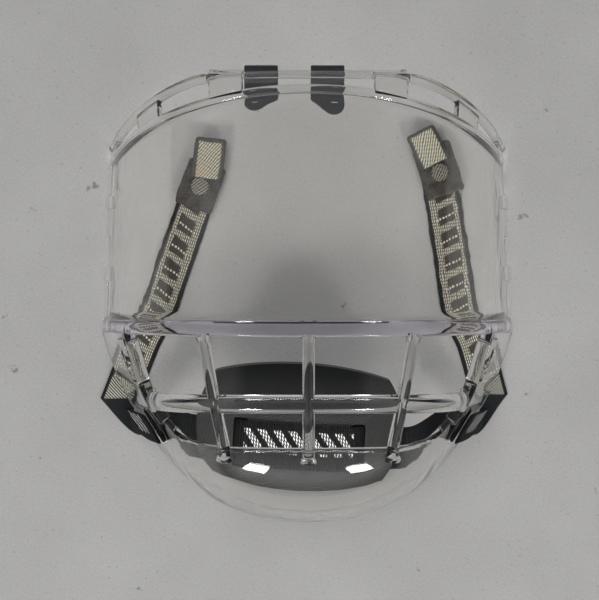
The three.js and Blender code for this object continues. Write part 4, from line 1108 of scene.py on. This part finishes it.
def each(tree, value, pitch):
    """How far along its repeat a length is, in millimetres."""
    return times(tree, math_node(tree, "FRACT", math_node(tree, "DIVIDE", value, pitch)), pitch)


def pattern_ways(tree):
    layer = add(tree, "ShaderNodeUVMap", uv_map="pattern").outputs[0]
    ways = add(tree, "ShaderNodeSeparateXYZ", {0: layer})
    return ways.outputs[0], ways.outputs[1]


def object_place(tree):
    return add(tree, "ShaderNodeTexCoord").outputs["Object"]


def object_ways(tree):
    """The object's own X and Y in millimetres."""
    size = {0: object_place(tree), 1: (1000, 1000, 1000)}
    larger = add(tree, "ShaderNodeVectorMath", size, operation="MULTIPLY").outputs[0]
    ways = add(tree, "ShaderNodeSeparateXYZ", {0: larger})
    return ways.outputs[0], ways.outputs[1]


def chain(tree, u, v, pitch=1.05, length=1.7):
    """Short light stitches in staggered columns."""
    columns = step(tree, ripple(tree, u, pitch), 0.25, 0.6)
    return times(tree, columns, step(tree, ripple(tree, scaled(tree, u, 1.6, v), length), 0.12, 0.4))


def clear_plastic():
    """Clear plastic with a lilac tint at the ledge, whose shadows are nearly clear."""
    made, tree, shader = material("clear_plastic")
    _, y = object_ways(tree)
    place = object_place(tree)
    middle = -LEDGE_DROP + SHIFT[1]
    ledge = within(tree, y, middle - 3.6, middle + 3.4, 0.5)
    colour = blend_colours(tree, ledge, (0.94, 0.935, 0.915), (0.88, 0.84, 0.94))
    surface(tree, shader, colour, noise(tree, place, 60, 2), 0.08, 0.001)
    shader.inputs["Transmission Weight"].default_value = 1
    shader.inputs["IOR"].default_value = 1.56
    wear = scaled(tree, noise(tree, place, 900, 4), 0.05)
    tree.links.new(wear, shader.inputs["Roughness"])
    shadow = add(tree, "ShaderNodeLightPath").outputs["Is Shadow Ray"]
    through = add(tree, "ShaderNodeBsdfTransparent", {"Color": (0.97, 0.97, 0.97, 1)}).outputs[0]
    both = add(tree, "ShaderNodeMixShader", {0: shadow, 1: shader.outputs[0], 2: through}).outputs[0]
    tree.links.new(both, tree.nodes["Material Output"].inputs["Surface"])
    return made


def plain(name, colour, roughness):
    made, tree, shader = material(name, roughness)
    grain = noise(tree, object_place(tree), 1500, 3)
    tone = tuple(0.7 * value for value in colour)
    surface(tree, shader, blend_colours(tree, grain, tone, colour), grain, 0.15, 0.0002)
    return made


def webbing_look(name, marked=None):
    """Black ribbed webbing whose raised weave carries a painted highlight, with a band of pale slanted bars
    of stitches where it is marked.
    """
    made, tree, shader = material(name, 0.85, 0.15)
    u, v = pattern_ways(tree)
    ribs, threads = ripple(tree, v, 1.15), ripple(tree, u, 0.75)
    # Painted highlight: the weave is coloured lighter where its ribs and threads stand highest.
    colour = blend_colours(tree, times(tree, ribs, threads), (0.004, 0.0045, 0.005), (0.024, 0.025, 0.026))
    if marked:
        low, high, inner, outer = marked
        area = times(tree, within(tree, v, low, high), within(tree, u, inner, outer))
        bars = within(tree, each(tree, scaled(tree, u, 0.75, v), 7.2), 0.4, 4.2)
        marks = times(tree, area, bars, chain(tree, v, u, 1.3, 1.7))
        colour = blend_colours(tree, marks, colour, (0.9, 0.91, 0.88))
    surface(tree, shader, colour, scaled(tree, threads, 0.3, ribs), 0.7, 0.0004)
    return made


def elastic_look():
    """Pale stitches on dark between black borders; past the fold the strip is black and ribbed."""
    made, tree, shader = material("elastic", 0.9, 0.15)
    u, v = pattern_ways(tree)
    side_way = math_node(tree, "ABSOLUTE", u)
    stripes = within(tree, side_way, 5.0, 7.3, 0.2)
    wide = within(tree, u, -7.3, -4.0, 0.2)
    repeat = each(tree, scaled(tree, u, 0.3, v), 12.0)
    middle = step(tree, side_way, 5.0, 4.6)
    spots = step(tree, ripple(tree, u, 1.75), 0.35, 0.6)
    dots = times(tree, middle, within(tree, repeat, 0.5, 1.5), spots)
    blocks = times(tree, middle, within(tree, repeat, 4.4, 8.0, 0.3))
    light = times(tree, highest(tree, stripes, wide, blocks), chain(tree, u, v))
    light = highest(tree, light, dots)
    grain = noise(tree, object_place(tree), 1200, 3)
    ground = blend_colours(tree, grain, (0.022, 0.02, 0.017), (0.075, 0.07, 0.06))
    woven = blend_colours(tree, light, ground, (0.62, 0.59, 0.48))
    border = ripple(tree, v, 0.9)
    black = blend_colours(tree, border, (0.006, 0.006, 0.007), (0.022, 0.022, 0.023))
    inner = step(tree, side_way, 7.9, 7.5)
    colour = blend_colours(tree, inner, black, woven)
    near_fold = times(tree, inner, within(tree, v, -11.0, 0.0, 1.0))
    lines = step(tree, ripple(tree, scaled(tree, u, 0.8, v), 1.25), 0.4, 0.6)
    colour = blend_colours(tree, near_fold, colour, (0.03, 0.03, 0.027))
    colour = blend_colours(tree, times(tree, near_fold, lines), colour, (0.42, 0.41, 0.35))
    past = step(tree, v, -0.2, 0.3)
    ribs = ripple(tree, u, 1.0)
    folded = blend_colours(tree, ribs, (0.004, 0.005, 0.006), (0.028, 0.032, 0.034))
    relief = scaled(tree, light, 0.6, times(tree, border, 0.3))
    height = blend_colours(tree, past, relief, ribs)
    surface(tree, shader, blend_colours(tree, past, colour, folded), height, 0.6, 0.0004)
    return made


def suede_look():
    made, tree, shader = material("suede", 1.0, 0.1)
    place = object_place(tree)
    broad = noise(tree, place, 220, 4, 0.65)
    nap = noise(tree, place, 2200, 4, 0.7)
    tone = step(tree, scaled(tree, nap, 0.45, times(tree, broad, 0.6)), 0.3, 0.75)
    colour = blend_colours(tree, tone, (0.016, 0.015, 0.0135), (0.085, 0.077, 0.068))
    surface(tree, shader, colour, nap, 0.5, 0.0003)
    return made


def mesh_look(name, thread, ground, bound=None, stained=False):
    """Open mesh cloth, with a dark fuzzy binding beyond the low, high and side edges it is given."""
    made, tree, shader = material(name, 0.95, 0.15)
    u, v = pattern_ways(tree)
    place = object_place(tree)
    strands = ripple(tree, scaled(tree, u, 0.82, times(tree, v, -0.57)), 1.25)
    knots = ripple(tree, scaled(tree, u, 0.4, v), 2.1)
    holes = step(tree, scaled(tree, knots, 0.35, strands), 0.5, 0.95)
    grain = noise(tree, place, 900, 3)
    cloth = blend_colours(tree, holes, thread, ground)
    cloth = blend_colours(tree, times(tree, grain, 0.25), cloth, ground)
    if stained:
        spot = times(tree, step(tree, u, 1.0, -7.0), step(tree, v, 17.0, 6.0))
        cloth = blend_colours(tree, times(tree, spot, 0.55), cloth, (0.36, 0.27, 0.15))
    if bound:
        low, high, half = bound
        wander = scaled(tree, noise(tree, place, 700, 2), 1.2, -0.6)
        side_way = math_node(tree, "ADD", math_node(tree, "ABSOLUTE", u), wander)
        rise = math_node(tree, "ADD", v, wander)
        inside = times(tree, step(tree, side_way, half + 0.2, half - 0.2),
                       step(tree, rise, high + 0.2, high - 0.2), step(tree, rise, low - 0.2, low + 0.2))
        fuzz = blend_colours(tree, grain, (0.02, 0.02, 0.018), (0.09, 0.088, 0.08))
        cloth = blend_colours(tree, inside, fuzz, cloth)
    surface(tree, shader, cloth, math_node(tree, "SUBTRACT", 1.0, holes), 0.5, 0.0003)
    return made


def cup_look():
    """Dark cloth with slanted ribs, smoother in its upper middle, and a paler line along its top edge that
    is a painted highlight.
    """
    made, tree, shader = material("cup_shell", 0.75, 0.25)
    x, y = object_ways(tree)
    wander = times(tree, noise(tree, object_place(tree), 240, 2), 0.9)
    lean = scaled(tree, x, 0.68, times(tree, y, -0.73))
    ribs = ripple(tree, math_node(tree, "ADD", lean, wander), 1.0)
    bare = times(tree, step(tree, y, -57.0, -51.0), within(tree, x, -33.0, 27.0, 5.0))
    ribs = times(tree, ribs, math_node(tree, "SUBTRACT", 1.0, times(tree, bare, 0.85)))
    colour = blend_colours(tree, ribs, (0.007, 0.0075, 0.0075), (0.05, 0.051, 0.049))
    # Painted highlight: a paler line along the cup's top edge, found from the cup's outline.
    from_middle = math_node(tree, "SUBTRACT", x, CUP_X + 1.9 + float(SHIFT[0]))
    across = math_node(tree, "DIVIDE", from_middle, CUP_HALF * 0.843)
    fall = scaled(tree, times(tree, across, across), -CUP_TOP_TAPER_SHARE, 1.0)
    arch = math_node(tree, "SQRT", math_node(tree, "MAXIMUM", fall, 0.0))
    edge = scaled(tree, arch, CUP_RISE, -CUP_DROP + float(SHIFT[1]))
    edge = scaled(tree, math_node(tree, "SUBTRACT", x, CUP_X), math.tan(CUP_TURN), edge)
    rim = step(tree, math_node(tree, "SUBTRACT", edge, y), 0.8, 0.3)
    surface(tree, shader, blend_colours(tree, rim, colour, (0.1, 0.097, 0.09)), ribs, 0.5, 0.0003)
    return made


# The object

shield = clear_shield()
paint(shield, clear_plastic())
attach(shield, "shield")
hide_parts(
    "lens", "lens_ledge", "top_flange", "side_frame_left", "side_frame_right", "chin_guard",
    "upright_left", "upright_centre", "upright_right", "crossbar_left_inner", "crossbar_left_outer",
    "crossbar_right_inner", "crossbar_right_outer",
)

black_loop = plain("loop_plastic", (0.02, 0.021, 0.023), 0.45)
webbing = webbing_look("webbing")
marked_front = webbing_look("webbing_front", (-25.5, 25.5, -3.5, 7.5))
marked_end = webbing_look("webbing_end", (7.0, 27.0, -9.5, 5.0))
elastic = elastic_look()
suede = suede_look()
mesh_cloths = {
    -1: mesh_look("mesh_left", (0.5, 0.47, 0.36), (0.09, 0.085, 0.065), (0.0, 23.6, 5.9), stained=True),
    1: mesh_look("mesh_right", (0.56, 0.54, 0.43), (0.1, 0.095, 0.075), (5.0, 22.2, 6.2)),
}
cap_cloth = mesh_look("mesh_cap", (0.26, 0.25, 0.21), (0.035, 0.034, 0.03))
cup_cloth = cup_look()
cup_pad = plain("cup_lining", (0.015, 0.015, 0.017), 0.95)
steel = plain("snap_metal", (0.6, 0.6, 0.62), 0.3)
steel.node_tree.nodes["Principled BSDF"].inputs["Metallic"].default_value = 1.0

for side, centre_x in LOOPS.items():
    name = SIDE_NAMES[side]
    loop = top_loop(side, centre_x)
    paint(loop, black_loop)
    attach(loop, f"top_loop_{name}")
    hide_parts(f"top_loop_{name}")

cup = cup_shell()
paint(cup, cup_cloth)
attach(cup, "chin_cup")
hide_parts("chin_cup_shell")
lining = cup_lining()
paint(lining, cup_pad)
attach(lining, "chin_cup")
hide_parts("chin_cup_lining")
front = band_front()
paint(front, marked_front)
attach(front, "chin_cup")
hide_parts("chin_band_front")


def at(x, y, z):
    return tuple((np.array([x, y, z], float) + SHIFT) * MM)


for side, name in SIDE_NAMES.items():
    band = band_side(side)
    paint(band, webbing)
    leaving = at(*cup_place(side * BAND_LEAVES[0], BAND_ON_CUP, BAND_LEAVES[1]))
    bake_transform(band)
    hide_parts(f"chin_band_{name}")
    end = band_end(side)
    paint(end, marked_end)
    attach(end, "shield")
    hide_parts(f"band_end_tab_{name}")
    strap = side_strap(side)
    paint(strap, elastic)
    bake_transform(strap)
    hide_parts(f"side_strap_{name}", f"strap_anchor_{name}")
    centre, up, across = fastening_frame(side)
    tab = plate(f"fastening_tab_cloth_{name}", centre, turned(up, TAB_TURNS[side]),
                TAB_START, TAB_ENDS[side], TAB_HALF, TAB_LEVEL, TAB_THICK)
    paint(tab, suede)
    pull = plate(f"pull_tab_cloth_{name}", centre + PULL_SHIFTS[side] * across, turned(up, PULL_TURNS[side]),
                 PULL_START, PULL_ENDS[side], PULL_HALF, CAP_LEVEL, PULL_THICK)
    paint(pull, mesh_cloths[side])
    cap = snap_cap(side)
    paint(cap, cap_cloth)
    for made, node, look in (
        (tab, f"fastening_tab_{name}", "suede"), (pull, f"pull_tab_{name}", "mesh_cloth"),
        (cap, f"snap_cap_{name}", "mesh_cloth"),
    ):
        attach(made, f"side_strap_{name}")
        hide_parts(node)
    for node in (f"snap_stud_{name}", f"snap_socket_{name}"):
        paint(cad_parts[node], steel)


# Camera, floor and light

scene = bpy.context.scene
view = bpy.data.cameras.new("view")
view.sensor_fit = "HORIZONTAL"
view.sensor_width = SENSOR
view.lens = SENSOR * CAMERA_FOCUS / PHOTO_WIDTH
view.clip_start = 0.01
camera = bpy.data.objects.new("view", view)
camera.location = at(CAMERA_X, 0, CAMERA_HEIGHT)
scene.collection.objects.link(camera)
scene.camera = camera


def floor_look():
    """Pale fine-grained concrete with small specks and a few dark marks."""
    made, tree, shader = material("concrete", 0.85)
    place = object_place(tree)
    fine = noise(tree, place, 900, 6, 0.7)
    broad = noise(tree, place, 12, 4)
    tone = scaled(tree, fine, 0.9, scaled(tree, broad, 0.6, -0.25))
    colour = blend_colours(tree, tone, (0.23, 0.227, 0.222), (0.4, 0.396, 0.388))
    specks = step(tree, noise(tree, place, 520, 2, 0.4), 0.66, 0.74)
    marks = step(tree, noise(tree, place, 75, 4, 0.5), 0.7, 0.74)
    colour = blend_colours(tree, times(tree, specks, 0.3), colour, (0.12, 0.115, 0.11))
    colour = blend_colours(tree, times(tree, marks, 0.6), colour, (0.07, 0.067, 0.064))
    surface(tree, shader, colour, fine, 0.2, 0.0003)
    return made


ground = bpy.data.meshes.new("floor")
corners = [(FLOOR_HALF * x, FLOOR_HALF * y, 0) for x, y in ((-1, -1), (1, -1), (1, 1), (-1, 1))]
ground.from_pydata(corners, [], [(0, 1, 2, 3)])
floor = bpy.data.objects.new("floor", ground)
floor.location.z = -FLOOR_DROP
scene.collection.objects.link(floor)
paint(floor, floor_look())

world = bpy.data.worlds.new("studio")
scene.world = world
world.use_nodes = True
tree = world.node_tree
ways = add(tree, "ShaderNodeSeparateXYZ", {0: add(tree, "ShaderNodeTexCoord").outputs["Generated"]})
height = scaled(tree, ways.outputs[2], 0.5, 0.5)
sky = add(tree, "ShaderNodeValToRGB", {0: height})
tones = sky.color_ramp.elements
tones[0].position, tones[0].color = 0.49, (0.015, 0.015, 0.015, 1)
tones[1].position, tones[1].color = 1.0, (0.26, 0.265, 0.28, 1)
for spot, level in ((0.56, 0.04), (0.66, 0.35), (0.78, 0.75), (0.93, 0.5)):
    tones.new(spot).color = (level, level * 1.01, level * 1.04, 1)
tree.links.new(sky.outputs[0], tree.nodes["Background"].inputs["Color"])
nearer = scaled(tree, ways.outputs[1], -0.3, 0.62)
tree.links.new(nearer, tree.nodes["Background"].inputs["Strength"])


def area(name, location, aim, size, power, colour, reflected=True):
    """A rectangular light. Gloss and clear plastic show it only where it is reflected."""
    light = bpy.data.lights.new(name, "AREA")
    light.shape = "RECTANGLE"
    light.size, light.size_y = size
    light.energy = power
    light.color = colour
    made = bpy.data.objects.new(name, light)
    made.location = location
    made.rotation_euler = (Vector(aim) - Vector(location)).to_track_quat("-Z", "Y").to_euler()
    made.visible_glossy = reflected
    made.visible_transmission = reflected
    scene.collection.objects.link(made)


for side, power in ((-1, 17), (1, 15)):
    window = f"window_{SIDE_NAMES[side]}"
    area(window, (side * 0.85, -1.6, 1.5), (0, 0, 0), (0.34, 0.42), power, (1.0, 0.99, 0.97))
area("ceiling", (-0.5, 0.5, 2.0), (0, 0, 0), (1.2, 1.2), 19, (0.97, 0.98, 1.0), False)
area("near_side", (0.05, -0.75, 0.8), (0, -0.3, 0), (1.2, 0.3), 3.2, (1.0, 1.0, 0.98), False)

scene.view_settings.view_transform = "Standard"
scene.cycles.use_denoising = True
